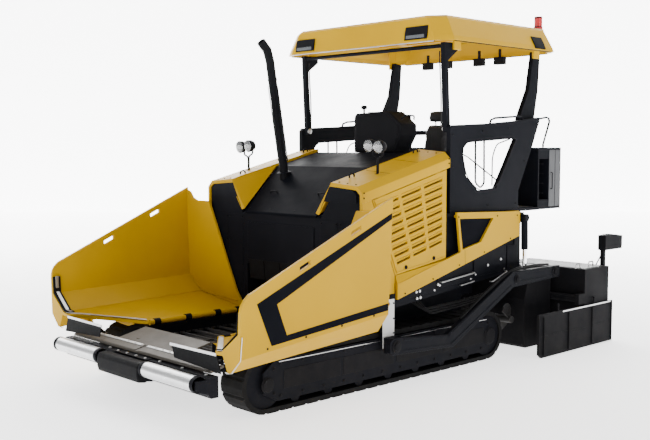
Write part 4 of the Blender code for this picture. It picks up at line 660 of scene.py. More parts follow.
def front_details():
    """Roller ends, bumper, beam plates, apron sheets with their clamps, and the hopper's front flaps."""
    ends = []
    for x, way in ((0.38, -1), (1.23, 1)):
        ends.append(turned([(-0.05, 0.0735), (-0.046, 0.0742), (-0.004, 0.0742), (0.0, 0.0735)],
                           (x + (0.05 if way < 0 else 0), -3.192, 0.405), (1, 0, 0)))
    both("roller_sleeve", ("roller_left", "roller_right"), BLACK, ends, bevel=0.0)
    # outer bumper of the push beam
    bumper = [prism("x", [(-3.262, 0.33), (-3.245, 0.275), (-3.16, 0.262), (-3.12, 0.30), (-3.12, 0.44),
                          (-3.17, 0.463),
                          (-3.235, 0.455), (-3.262, 0.42)], -0.36, 0.36)]
    piece("bumper_pad", "beam", FLAP, bumper, None, 0.012, 3)
    plates = [box((-0.30, 0.30), (-3.12, -3.02), (0.461, 0.467))]
    bolts = []
    for x in (-1.16, -0.80, -0.44, 0.44, 0.80, 1.16):
        bolts.append(hex_bolt((x, -3.06, 0.461), (0, 0, 1), 0.013, 0.010))
    for x in (-0.24, -0.08, 0.08, 0.24):
        bolts.append(hex_bolt((x, -3.09, 0.467), (0, 0, 1), 0.011, 0.008))
    plates.append(turned([(0, 0.065), (0.006, 0.065), (0.012, 0.05), (0.022, 0.05), (0.026, 0.03)],
                         (0, -2.93, 0.461), (0, 0, 1)))
    piece("beam_plates", "beam", BLACK, plates, bevel=0.002)
    piece("beam_bolts", "beam", ZINC, bolts, "bright_steel", 0.0)
    # apron: sheets, clamp bars, latch
    sheet, clamp, bolts = [], [], []
    for a, b in ((-1.18, -0.66), (-0.655, -0.02), (0.02, 0.655), (0.66, 1.18)):
        sheet.append(slab([(a, -3.036, 0.4975), (b, -3.036, 0.4975), (b, -2.905, 0.5265),
                           (a, -2.905, 0.5265)], 0.006))
    piece("apron_sheets", "chassis", TAUPE, sheet, "grey_paint", 0.002)
    for a, b in ((-1.18, -0.04), (0.04, 1.18)):
        clamp.append(slab([(a, -2.945, 0.524), (b, -2.945, 0.524), (b, -2.915, 0.530), (a, -2.915, 0.530)],
                          0.007))
    for x in [i * 0.12 - 1.14 for i in range(20)]:
        bolts.append(hex_bolt((x, -2.93, 0.534), (0, -0.2, 1), 0.008, 0.007))
    piece("apron_clamps", "chassis", ZINC, clamp, "bright_steel", 0.0015)
    piece("apron_bolts", "chassis", ZINC, bolts, "bright_steel", 0.0)
    flap = loft([[(0.62, y, 0.655), (1.30, y, 0.662), (1.36, y, 0.50), (0.66, y, 0.535)]
                 for y in (-3.052, -3.042)])
    strip = loft([[(0.60, y, 0.668), (1.30, y, 0.675), (1.30, y, 0.650), (0.60, y, 0.643)]
                  for y in (-3.058, -3.052)])
    both("hopper_flap", WINGS, FLAP, [flap], None, 0.002)
    both("flap_strip", WINGS, ZINC, [strip], "bright_steel", 0.001)


# ================================================================ engine body
def cover_top(y, x):
    """Height of the engine cover's outer face."""
    rise = 0.25 * (y + 1.205)
    if x > 1.2:
        return 2.07 + rise - 0.07 * (x - 1.2) / 0.075
    return 2.10 + rise - 0.03 * (x - 0.82) / 0.38


def band(y):
    """Lower and upper edge of the yellow band under the grille."""
    rise = 0.247 * (y + 0.716)
    return 0.887 + rise, 1.049 + rise


def bar(a, b, width, thick, up=(0, 0, 1)):
    """A flat bar between two points."""
    a, b = Vector(a), Vector(b)
    along = (b - a).normalized()
    side = along.cross(Vector(up)).normalized() * thick / 2
    rise = side.cross(along).normalized() * width / 2
    return loft([[p + side + rise, p - side + rise, p - side - rise, p + side - rise] for p in (a, b)])


def grille_low(y):
    return 1.142 + 0.111 * (y + 0.716) / 0.821


def grille_details():
    """Slanted blades in every slot, the frame's ribs, dark mesh behind, two latches and a stay."""
    blades, ribs = [], []
    bottom, top_front = 1.242, 1.93025
    pitch = (top_front - bottom - 0.02) / 8
    for row in range(9):
        z = bottom + row * pitch
        share = (z - 1.142) / (top_front - 1.142)
        front = -0.716 - 0.344 * share + 0.07
        width = (0.035 - front - 0.10) / 3
        for column in range(3):
            a = front + column * (width + 0.05)
            section = []
            for y in (a - 0.004, a + width + 0.004):
                low = z + 0.25 * (y + 0.716)
                section.append([(1.2735, y, low + 0.052), (1.281, y, low + 0.046), (1.281, y, low + 0.041),
                                (1.252, y, low + 0.012), (1.248, y, low + 0.017)])
            blades.append(loft(section))
    for y0, y1, z0, z1 in ((-0.70, 0.09, 1.158, 1.266), (-1.035, 0.09, 1.925, 2.205)):
        ribs.append(bar((GRILLE_X, y0, z0), (GRILLE_X, y1, z1), 0.022, 0.005))
    ribs.append(bar((GRILLE_X, 0.088, 1.27), (GRILLE_X, 0.088, 2.20), 0.005, 0.020))
    ribs.append(bar((GRILLE_X, -0.70, 1.17), (GRILLE_X, -1.035, 1.92), 0.005, 0.020))
    doors = ("grille_left", "grille_right")
    both("grille_blade", doors, YELLOW, blades, "yellow_paint", 0.0015, 1)
    both("grille_rib", doors, YELLOW, ribs, "yellow_paint", 0.0015, 1)
    mesh = [prism("x", [(-0.70, 1.165), (0.085, 1.27), (0.085, 2.18), (-1.03, 1.91)], 1.2395, 1.2435)]
    both("grille_mesh", doors, MESH, mesh, None, 0.0)
    latches = []
    for y in (-0.55, -0.10):
        z = grille_low(y) + 0.045
        latches.append(turned([(0, 0.022), (0.004, 0.022), (0.006, 0.016), (0.010, 0.016)], (1.2755, y, z),
                              (1, 0, 0)))
        latches.append(box((1.284, 1.289), (y - 0.004, y + 0.004), (z - 0.014, z + 0.014)))
    both("grille_latch", doors, SATIN, latches, bevel=0.001)
    rods = [tube([(1.268, -0.98, 1.86), (1.262, -0.90, 1.80), (1.262, -0.86, 1.70)], 0.006, 8)]
    both("grille_stay", doors, ZINC, rods, "bright_steel", 0.0)


def cover_details():
    """Seams, bolts, lifting eyes, front rim and work lamps of the engine covers."""
    seams, bolts, eyes = [], [], []
    for y in (-0.72, -0.28):
        seams.append(bar((0.86, y, cover_top(y, 0.86) + 0.0006), (1.195, y, cover_top(y, 1.195) + 0.0006),
                         0.0022, 0.005, (0, 0, 1)))
    for y in (-1.185, 0.145):
        for z in (1.98, 2.03):
            bolts.append(hex_bolt((1.275, y, z + 0.25 * (y + 1.205) - 0.03), (1, 0, 0), 0.008, 0.006))
    for y in (-1.16, 0.09):
        for x in (0.90, 1.02, 1.14):
            bolts.append(hex_bolt((x, y, cover_top(y, x)), (-0.03, -0.24, 1), 0.008, 0.006))
    for y in (-1.10, -1.02):
        for z in (1.05, 1.35, 1.65):
            bolts.append(hex_bolt((1.273, y, z), (1, 0, 0), 0.008, 0.006))
    for y in (-0.98, 0.02):
        x = 0.90
        z = cover_top(y, x)
        eyes.append(tube([(x, y - 0.035, z - 0.004), (x, y - 0.035, z + 0.03), (x, y, z + 0.045),
                          (x, y + 0.035, z + 0.03),
                          (x, y + 0.035, z - 0.004)], 0.008, 8))
    both("cover_seam", BASE, BLACK, seams, None, 0.0)
    both("cover_bolt", BASE, SATIN, bolts, bevel=0.0)
    both("cover_eye", BASE, SATIN, eyes, bevel=0.0)
    cheek = [prism("y", [(0.66, 1.80), (0.80, 2.06), (1.10, 2.035), (1.19, 1.99), (1.19, 1.90),
                         (0.72, 1.90)], -1.2085, -1.2055)]
    both("cover_front_rim", BASE, BLACK, cheek, None, 0.0)
    lamps, glass, posts = [], [], []
    for x, y, z in ((0.99, -0.785, 2.487), (1.135, -0.795, 2.475)):
        lamps.append(turned([(0, 0.030), (0.015, 0.052), (0.05, 0.068), (0.085, 0.072), (0.092, 0.072),
                             (0.094, 0.066)],
                            (x, y + 0.05, z), (0, -1, -0.12)))
        glass.append(turned([(0.0, 0.064), (0.006, 0.062), (0.010, 0.050), (0.012, 0.02)],
                            (x, y - 0.043, z - 0.011), (0, -1, -0.12)))
        posts.append(tube([(x, y + 0.03, z - 0.03), (x, y + 0.03, z - 0.10), (1.06, y + 0.03, z - 0.13),
                           (1.06, y + 0.03, 2.16)], 0.011, 8))
    posts.append(turned([(0, 0.035), (0.008, 0.035), (0.012, 0.02)], (1.06, -0.76, 2.178), (0, 0, 1)))
    both("work_lamp", BASE, SATIN, lamps, bevel=0.0)
    both("work_lamp_glass", BASE, LENS, glass, None, 0.0)
    both("work_lamp_post", BASE, SATIN, posts, bevel=0.0)


def hood_point(x, y, out=0.0):
    """A point on the hood's sloping front."""
    share = (y + 1.201) / 0.686
    return (x, y - 0.573 * out, 1.74 + 0.48 * share + 0.82 * out)


def hood_details():
    """Slots, seams, handles and bolts on the hood, and the clamps and shield of the exhaust."""
    slots, seams, fittings = [], [], []
    for x0, x1 in ((-0.30, -0.10), (0.12, 0.34)):
        for i in range(4):
            y = -0.70 + i * 0.045
            slots.append(slab([hood_point(x0, y, 0.001), hood_point(x1, y, 0.001),
                               hood_point(x1, y + 0.016, 0.005),
                               hood_point(x0, y + 0.016, 0.005)], 0.003))
    for y in (-1.02, -0.56):
        seams.append(bar(hood_point(-0.62, y, 0.001), hood_point(0.62, y, 0.001), 0.002, 0.006,
                         (0, -0.573, 0.82)))
    seams.append(bar(hood_point(0.0, -1.02, 0.001), hood_point(0.0, -0.56, 0.001), 0.002, 0.005,
                     (0, -0.573, 0.82)))
    for x in (-0.40, 0.40):
        fittings.append(tube([hood_point(x - 0.06, -0.92, 0.0), hood_point(x - 0.06, -0.92, 0.035),
                              hood_point(x + 0.06, -0.92, 0.035), hood_point(x + 0.06, -0.92, 0.0)], 0.007,
                             8))
    for x in (-0.55, -0.2, 0.2, 0.55):
        fittings += hex_bolt(hood_point(x, -1.15), (0, -0.573, 0.82), 0.009, 0.007)
    for i in range(6):
        y = -0.40 + i * 0.075
        z = 2.2425 + 0.25 * (y + 0.515) - 0.0225
        seams.append(box((-0.10, 0.50), (y, y + 0.02), (z + 0.0005, z + 0.006)))
    piece("hood_slots", "chassis", ZINC, slots, "bright_steel", 0.0008, 1)
    piece("hood_seams", "chassis", BLACK, seams, bevel=0.001)
    piece("hood_fittings", "chassis", SATIN, fittings, bevel=0.0)
    clamp = []
    for share in (0.10, 0.52, 0.82):
        y = -0.685 - 0.21 * share
        z = 2.20 + 1.24 * share
        clamp.append(turned([(0, 0.0512), (0.004, 0.055), (0.026, 0.055), (0.03, 0.0512)], (-0.50, y, z),
                            (0, -0.167, 0.986)))
    shield = []
    for k in range(9):
        a = math.radians(-150 + k * 37.5)
        shield.append(rod((-0.50 + 0.057 * math.cos(a), -0.70 + 0.057 * math.sin(a), 2.30),
                          (-0.50 + 0.057 * math.cos(a), -0.855 + 0.057 * math.sin(a), 3.16), 0.004, 8))
    shield.append(turned([(0, 0.085), (0.008, 0.085), (0.02, 0.056)], (-0.50, -0.69, 2.165),
                         (0, -0.167, 0.986)))
    piece("exhaust_clamps", "chassis", SATIN, clamp, bevel=0.0)
    piece("exhaust_shield", "chassis", BLACK, shield, bevel=0.0)


def hopper_wall_details():
    """Plates and bolts on the hopper's rear wall, the tunnel's apron and flaps, and the conveyor."""
    plates, bolts = [], []
    for x0, x1 in ((0.64, 0.90), (0.92, 1.21)):
        plates.append(box((x0, x1), (WALL_PLATE_Y, -1.1855), (0.80, 1.70)))
    for x in (0.66, 0.88, 0.94, 1.19):
        for z in (0.83, 1.12, 1.40, 1.67):
            bolts.append(hex_bolt((x, WALL_PLATE_Y, z), (0, -1, 0), 0.010, 0.007))
    both("hopper_wall_plate", BASE, BLACK, plates, bevel=0.002)
    both("hopper_wall_bolt", BASE, SATIN, bolts, bevel=0.0)
    apron = [prism("x", [(-1.190, 1.20), (-1.186, 1.62), (-1.192, 1.62), (-1.200, 1.20)], -0.55, 0.55)]
    flaps = [slab([(-0.53 + 0.265 * i, -1.196, 1.20), (-0.53 + 0.265 * i + 0.255, -1.196, 1.20),
                   (-0.53 + 0.265 * i + 0.255, -1.175, 0.98), (-0.53 + 0.265 * i, -1.175, 0.98)],
                  0.006) for i in range(4)]
    piece("tunnel_apron", "chassis", BLACK, apron, bevel=0.002)
    piece("tunnel_flaps", "chassis", FLAP, flaps, None, 0.001)
    slats, chains = [], []
    for i in range(22):
        y = -2.46 + i * 0.165
        for x0, x1 in ((-0.53, -0.03), (0.03, 0.53)):
            slats.append(prism("x", [(y, CONVEYOR_Z), (y + 0.038, CONVEYOR_Z), (y + 0.03, 0.480),
                                     (y + 0.008, 0.480)], x0, x1))
    for x in (-0.545, -0.015, 0.015, 0.545):
        for i in range(44):
            y = -2.47 + i * 0.0825
            chains.append(box((x - 0.006, x + 0.006), (y, y + 0.060), (CONVEYOR_Z, 0.484)))
    piece("conveyor_slats", "chassis", CAST, slats, None, 0.0)
    piece("conveyor_chains", "chassis", CAST, chains, None, 0.0)


# ================================================================ side band and tank
def side_details():
    """Inset panel in the band, doors, rails, hoses and bolts of the tank, and the rear fan guard."""
    inset = [prism("x", [(0.285, 1.695), (0.945, 1.672), (0.705, 1.375), (0.335, 1.315)], 1.266, 1.2795)]
    both("side_inset", BASE, GLOSS, inset, None, 0.002)
    bolts, seams = [], []
    for y in (0.28, 0.99, 1.38):
        bolts.append(hex_bolt((COVER_X, y, 1.705 - 0.03 * y), (1, 0, 0), 0.008, 0.006))
    for y in (-0.60, -0.15, 0.30, 0.75, 1.25):
        bolts.append(hex_bolt((COVER_X, y, band(y)[0] + 0.025), (1, 0, 0), 0.008, 0.006))
    seams.append(bar((1.3102, 0.405, band(0.405)[0] + 0.001), (1.3102, 0.395, band(0.395)[1] + 0.02),
                     0.0015, 0.004, (1, 0, 0)))
    both("side_band_bolt", BASE, SATIN, bolts, bevel=0.0)
    both("side_band_seam", BASE, BLACK, seams, None, 0.0)
    doors, steel, hoses = [], [], []
    for y0, y1 in ((-0.62, 0.02), (0.05, 0.66), (0.69, 1.30)):
        z0 = 0.73 + 0.27 * (y1 + 1.145) / 2.75 + 0.04
        doors.append(prism("x", [(y0, z0 - 0.03), (y1, z0), (y1, band(y1)[0] - 0.02),
                                 (y0, band(y0)[0] - 0.02)], TANK_X, TANK_DOOR_X))
        for y, z in ((y0 + 0.03, z0), (y1 - 0.03, z0 + 0.02)):
            steel.append(hex_bolt((TANK_DOOR_X, y, z), (1, 0, 0), 0.009, 0.007))
    doors.append(prism("x", [(1.33, 1.02), (1.59, 1.02), (1.59, 1.68), (1.47, 1.68), (1.47, 1.30),
                             (1.33, 1.30)], TANK_X, TANK_DOOR_X))
    both("tank_door", BASE, BLACK, doors, bevel=0.004)
    rails = [tube([(1.205, 0.09, 0.985), (1.245, 0.09, 0.985), (1.245, 0.665, 1.04), (1.205, 0.665, 1.04)],
                  0.009, 8),
             tube([(1.205, 0.44, 0.915), (1.235, 0.44, 0.915), (1.235, 0.667, 0.94), (1.205, 0.667, 0.94)],
                  0.007, 8),
             tube([(1.205, 1.0, 0.905), (1.245, 1.0, 0.905), (1.245, 1.29, 1.0), (1.205, 1.29, 1.0)],
                  0.008, 8)]
    both("tank_rail", BASE, ZINC, rails, "bright_steel", 0.0)
    for y, z in ((-0.31, 0.915), (-0.255, 0.92), (-0.30, 0.845), (-0.245, 0.85), (0.05, 0.96),
                 (0.62, 1.21), (0.95, 1.10), (1.20, 1.15)):
        steel.append(hex_bolt((TANK_DOOR_X, y, z), (1, 0, 0), 0.012, 0.010))
    both("tank_bolt", BASE, ZINC, steel, "bright_steel", 0.0)
    for i in range(3):
        hoses.append(tube([(1.15, -0.30 + 0.05 * i, 0.80), (1.235, -0.22 + 0.05 * i, 0.72 - 0.03 * i),
                           (1.22, 0.50, 0.74 - 0.025 * i), (1.23, 1.10, 0.80 - 0.02 * i),
                           (1.16, 1.40, 0.98)], 0.014, 10))
    both("tank_hose", BASE, HOSE, hoses, None, 0.0)
    rear = [prism("y", [(0.66, 1.02), (1.17, 1.02), (1.17, 1.66), (0.66, 1.66)], 1.6055, 1.616)]
    both("tank_rear_door", BASE, BLACK, rear, bevel=0.004)
    fan = [turned([(0, 0.20), (0.008, 0.21), (0.03, 0.21), (0.034, 0.19), (0.02, 0.18)],
                  (0.0, 1.5955, 1.44), (0, 1, 0), 32)]
    for k in range(9):
        fan.append(box((-0.17, 0.17), (1.605, 1.611), (1.30 + k * 0.034, 1.308 + k * 0.034)))
    piece("rear_fan_guard", "chassis", SATIN, fan, bevel=0.0)


# ================================================================ platform
def platform_details():
    """Tread plate, and the rods, rim and bolts of the side frames' windows."""
    deck = [box((-1.165, 1.165), (0.155, 1.925), (1.7352, 1.7395))]
    piece("deck_tread", "chassis", TREAD, deck, None, 0.001)
    rods = [tube([(WINDOW_X, 0.47, 2.385), (WINDOW_X, 0.56, 2.355), (WINDOW_X, 1.09, 2.09)], 0.008, 8),
            tube([(WINDOW_X, 0.70, 2.53), (WINDOW_X, 0.705, 2.06), (WINDOW_X, 0.80, 2.0),
                  (WINDOW_X, 0.868, 2.05), (WINDOW_X, 0.86, 2.55)], 0.011, 10),
            tube([(WINDOW_X, 1.36, 2.56), (WINDOW_X, 1.10, 2.50), (WINDOW_X, 1.02, 2.35),
                  (WINDOW_X, 1.02, 2.02)], 0.008, 8)]
    both("window_rod", BASE, SATIN, rods, bevel=0.0)
    bolts = []
    outline = [(0.43, 2.38), (0.44, 2.46), (0.515, 2.52), (1.37, 2.57), (1.44, 2.56), (1.28, 2.313),
               (1.06, 1.99), (0.72, 1.97), (0.50, 2.14)]
    points = [(1.2365, y, z) for y, z in outline]
    rim = [tube(points + points[:1], 0.006, 6, 3)]
    for y, z in ((0.26, 1.80), (0.26, 2.25), (0.26, 2.60), (0.80, 2.65), (1.30, 2.69), (1.45, 1.80),
                 (0.90, 1.80), (1.62, 2.30), (1.86, 2.75)):
        bolts.append(hex_bolt((FRAME_X, y, z), (1, 0, 0), 0.010, 0.007))
    both("window_rim", BASE, SATIN, rim, bevel=0.0)
    both("side_frame_bolt", BASE, SATIN, bolts, bevel=0.0)

def locker_details():
    """Doors, handles and bay bars of the lockers."""
    panel = [box((0.83, 1.19), (2.4302, 2.436), (1.73, 2.02)),
             box((0.83, 1.19), (2.4302, 2.436), (2.06, 2.43)),
             box((1.2202, 1.226), (2.165, 2.29), (1.73, 2.43)),
             box((1.2202, 1.226), (2.30, 2.42), (1.73, 2.43))]
    both("locker_panel", BASE, GREY, panel, None, 0.003)
    frame_bits = [tube([(1.222, 2.20, 1.95), (1.25, 2.20, 1.95), (1.25, 2.20, 2.15), (1.222, 2.20, 2.15)],
                       0.006, 8),
                  tube([(0.95, 2.437, 2.40), (0.95, 2.465, 2.40), (1.07, 2.465, 2.40),
                        (1.07, 2.437, 2.40)], 0.006, 8)]
    for z in (1.90, 2.02, 2.14, 2.26):
        frame_bits.append(rod((0.83, 2.05, z), (1.215, 2.05, z), 0.005, 8))
    both("locker_fitting", BASE, SATIN, frame_bits, bevel=0.0)


def console_details():
    """Panel toward the seats with its screens, keys, levers and stop button, and the console's trim."""
    panel = [prism("x", [(0.555, 2.46), (0.551, 2.84), (0.560, 2.84), (0.575, 2.46)], -0.26, 0.36)]
    piece("console_panel", "dashboard", SATIN, panel, bevel=0.004)
    screens = [slab([(-0.20, 0.577, 2.60), (0.02, 0.577, 2.60), (0.02, 0.5665, 2.78),
                     (-0.20, 0.5665, 2.78)], 0.008),
               slab([(0.10, 0.576, 2.62), (0.28, 0.576, 2.62), (0.28, 0.567, 2.76), (0.10, 0.567, 2.76)],
                    0.008)]
    piece("console_screens", "dashboard", SCREEN, screens, None, 0.003)
    keys = []
    for i in range(8):
        for j in range(2):
            keys.append(rod((-0.20 + i * 0.065, 0.570, 2.50 + j * 0.045),
                            (-0.20 + i * 0.065, 0.586, 2.50 + j * 0.045), 0.011, 12))
    for x in (-0.12, 0.0, 0.14, 0.26):
        keys.append(rod((x, 0.56, 2.56), (x, 0.63, 2.60), 0.006, 10))
        keys.append(turned([(0, 0.006), (0.006, 0.014), (0.022, 0.017), (0.034, 0.010)], (x, 0.622, 2.595),
                           (0, 0.87, 0.5), 14))
    red = [turned([(0, 0.012), (0.01, 0.012), (0.011, 0.021), (0.02, 0.021), (0.024, 0.015)],
                  (0.33, 0.568, 2.52), (0, 1, 0))]
    piece("console_keys", "dashboard", SATIN, keys, bevel=0.0)
    piece("console_stop", "dashboard", RED, red, None, 0.0)
    face = [(-0.27, 2.43), (0.32, 2.43), (0.43, 2.61), (0.43, 2.72), (0.245, 2.85), (-0.255, 2.845),
            (-0.27, 2.82)]
    trim = [loft([[(x, 0.2675, z) for x, z in face],
                  [(x * 0.94, 0.259, 2.64 + (z - 2.64) * 0.92) for x, z in face]])]
    for x in (-0.15, 0.15):
        trim.append(box((x - 0.004, x + 0.004), (0.262, 0.268), (1.80, 2.40)))
    trim.append(tube([(0.44, 0.30, 2.79), (0.50, 0.30, 2.83), (0.53, 0.42, 2.83), (0.44, 0.52, 2.79)],
                     0.010, 10))
    trim.append(tube([(-0.30, 0.33, 2.80), (-0.345, 0.33, 2.84), (-0.345, 0.49, 2.84),
                      (-0.30, 0.49, 2.80)], 0.009, 10))
    trim.append(turned([(0, 0.012), (0.05, 0.012), (0.06, 0.035), (0.09, 0.04), (0.10, 0.02)],
                       (-0.22, 0.36, 2.868), (0, 0, 1)))
    for k in range(3):
        trim.append(box((-0.10 + 0.13 * k, 0.0 + 0.13 * k), (0.30, 0.52), (2.8765, 2.884)))
    piece("console_trim", "dashboard", SATIN, trim, bevel=0.002)
    rails = [box((-0.70, 0.70), (0.33, 0.35), (1.7396, 1.7430)),
             box((-0.70, 0.70), (0.47, 0.49), (1.7396, 1.7430))]
    piece("console_rails", "chassis", ZINC, rails, "bright_steel", 0.0)


def seat_pads():
    """The left seat's cushion, back and head bolster before they are puffed up."""
    near, far = SEAT_X - 0.20, SEAT_X + 0.20
    dip_near, dip_far = SEAT_X - 0.12, SEAT_X + 0.12
    cushion = loft([[(near, y, 2.125), (far, y, 2.125), (far, y, 2.235), (dip_far, y, 2.215),
                     (dip_near, y, 2.215), (near, y, 2.235)] for y in (0.60, 0.98)])

    def upright(front, rear, rings):
        return loft([[(SEAT_X - w, front + lean, z), (SEAT_X + w, front + lean, z),
                      (SEAT_X + w, rear + lean, z), (SEAT_X - w, rear + lean, z)] for w, lean, z in rings])

    back = upright(0.96, 1.05, ((0.165, 0.0, 2.26), (0.175, 0.02, 2.45), (0.165, 0.045, 2.66),
                                (0.12, 0.06, 2.74)))
    bolster = upright(0.995, 1.065, ((0.10, 0.02, 2.775), (0.115, 0.025, 2.83), (0.10, 0.03, 2.895)))
    return {"cushion": cushion, "back": back, "bolster": bolster}


def puffed(thing):
    """Remesh a pad, swell it with cloth pressure by no more than PAD_SWELL, and smooth it."""
    remesh = thing.modifiers.new("remesh", "REMESH")
    remesh.mode = "VOXEL"
    remesh.voxel_size = 0.007
    bpy.ops.object.modifier_apply(modifier="remesh")
    before = [v.co.copy() for v in thing.data.vertices]
    cloth = thing.modifiers.new("cloth", "CLOTH")
    cloth.settings.use_pressure = True
    cloth.settings.uniform_pressure_force = 4.0
    cloth.settings.effector_weights.gravity = 0.0
    cloth.settings.quality = 4
    cloth.point_cache.frame_start = 1
    cloth.point_cache.frame_end = PAD_FRAMES
    for step in range(1, PAD_FRAMES + 1):
        bpy.context.scene.frame_set(step)
    bpy.ops.object.modifier_apply(modifier="cloth")
    bpy.context.scene.frame_set(1)
    for vertex, start in zip(thing.data.vertices, before):
        move = vertex.co - start
        if move.length > PAD_SWELL:
            vertex.co = start + move * (PAD_SWELL / move.length)
    thing.modifiers.new("soft", "SMOOTH").iterations = 6
    bpy.ops.object.modifier_apply(modifier="soft")
    divide = thing.modifiers.new("divide", "SUBSURF")
    divide.levels = divide.render_levels = 1
    bpy.ops.object.modifier_apply(modifier="divide")
    thing.data.materials.append(SEAT)
    thing.data.shade_smooth()


def seat_pair(thing):
    """Copy a left pad to the right seat and say what both are."""
    name = thing.name
    twin = thing.copy()
    twin.data = thing.data.copy()
    for vertex in twin.data.vertices:
        vertex.co.x *= -1
    twin.data.flip_normals()
    bpy.context.scene.collection.objects.link(twin)
    thing.name, twin.name = name + "_left", name + "_right"
    for part, body, node in zip((thing, twin), SEATS, SEAT_NODES):
        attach(part, body)
        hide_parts(node)


def seat_hardware():
    """Seams, armrests and shell of the seats."""
    cx = SEAT_X
    seams = [tube([(x, 0.60, 2.232), (x, 0.97, 2.232)], 0.004, 6) for x in (cx - 0.125, cx + 0.125)]
    arms = []
    for x in (cx - 0.225, cx + 0.225):
        arms.append(tube([(x, 0.985, 2.20), (x, 0.985, 2.36), (x, 0.93, 2.385), (x, 0.70, 2.385)], 0.012, 10))
        arms.append(prism("x", [(0.68, 2.392), (0.70, 2.385), (0.93, 2.385), (0.95, 2.40), (0.93, 2.418),
                                (0.70, 2.418)], x - 0.022, x + 0.022))
    shell = [prism("x", [(0.585, 2.1003), (1.06, 2.1003), (1.06, 2.13), (0.585, 2.13)],
                   cx - 0.205, cx + 0.205),
             prism("x", [(1.052, 2.20), (1.066, 2.20), (1.115, 2.70), (1.10, 2.72)], cx - 0.15, cx + 0.15),
             tube([(cx - 0.05, 1.09, 2.70), (cx - 0.05, 1.06, 2.80)], 0.007, 8),
             tube([(cx + 0.05, 1.09, 2.70), (cx + 0.05, 1.06, 2.80)], 0.007, 8),
             box((cx - 0.14, cx + 0.14), (1.0, 1.065), (2.10, 2.30))]
    for stem, shapes, bevel in (("seat_seam", seams, 0.0), ("seat_arm", arms, 0.003),
                                ("seat_shell", shell, 0.003)):
        for part, node in zip(both(stem, SEATS, SATIN, shapes, bevel=bevel), SEAT_NODES):
            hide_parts(node)


def build_seats():
    """Upholstered seats: one is made, and copied to the other side."""
    made = []
    for name, shape in seat_pads().items():
        data = bpy.data.meshes.new(name)
        shape.to_mesh(data)
        shape.free()
        thing = bpy.data.objects.new("seat_" + name, data)
        bpy.context.scene.collection.objects.link(thing)
        made.append(thing)
    for thing in made:
        bpy.context.view_layer.objects.active = thing
        for other in made:
            other.select_set(other is thing)
        puffed(thing)
    for thing in made:
        seat_pair(thing)
    seat_hardware()


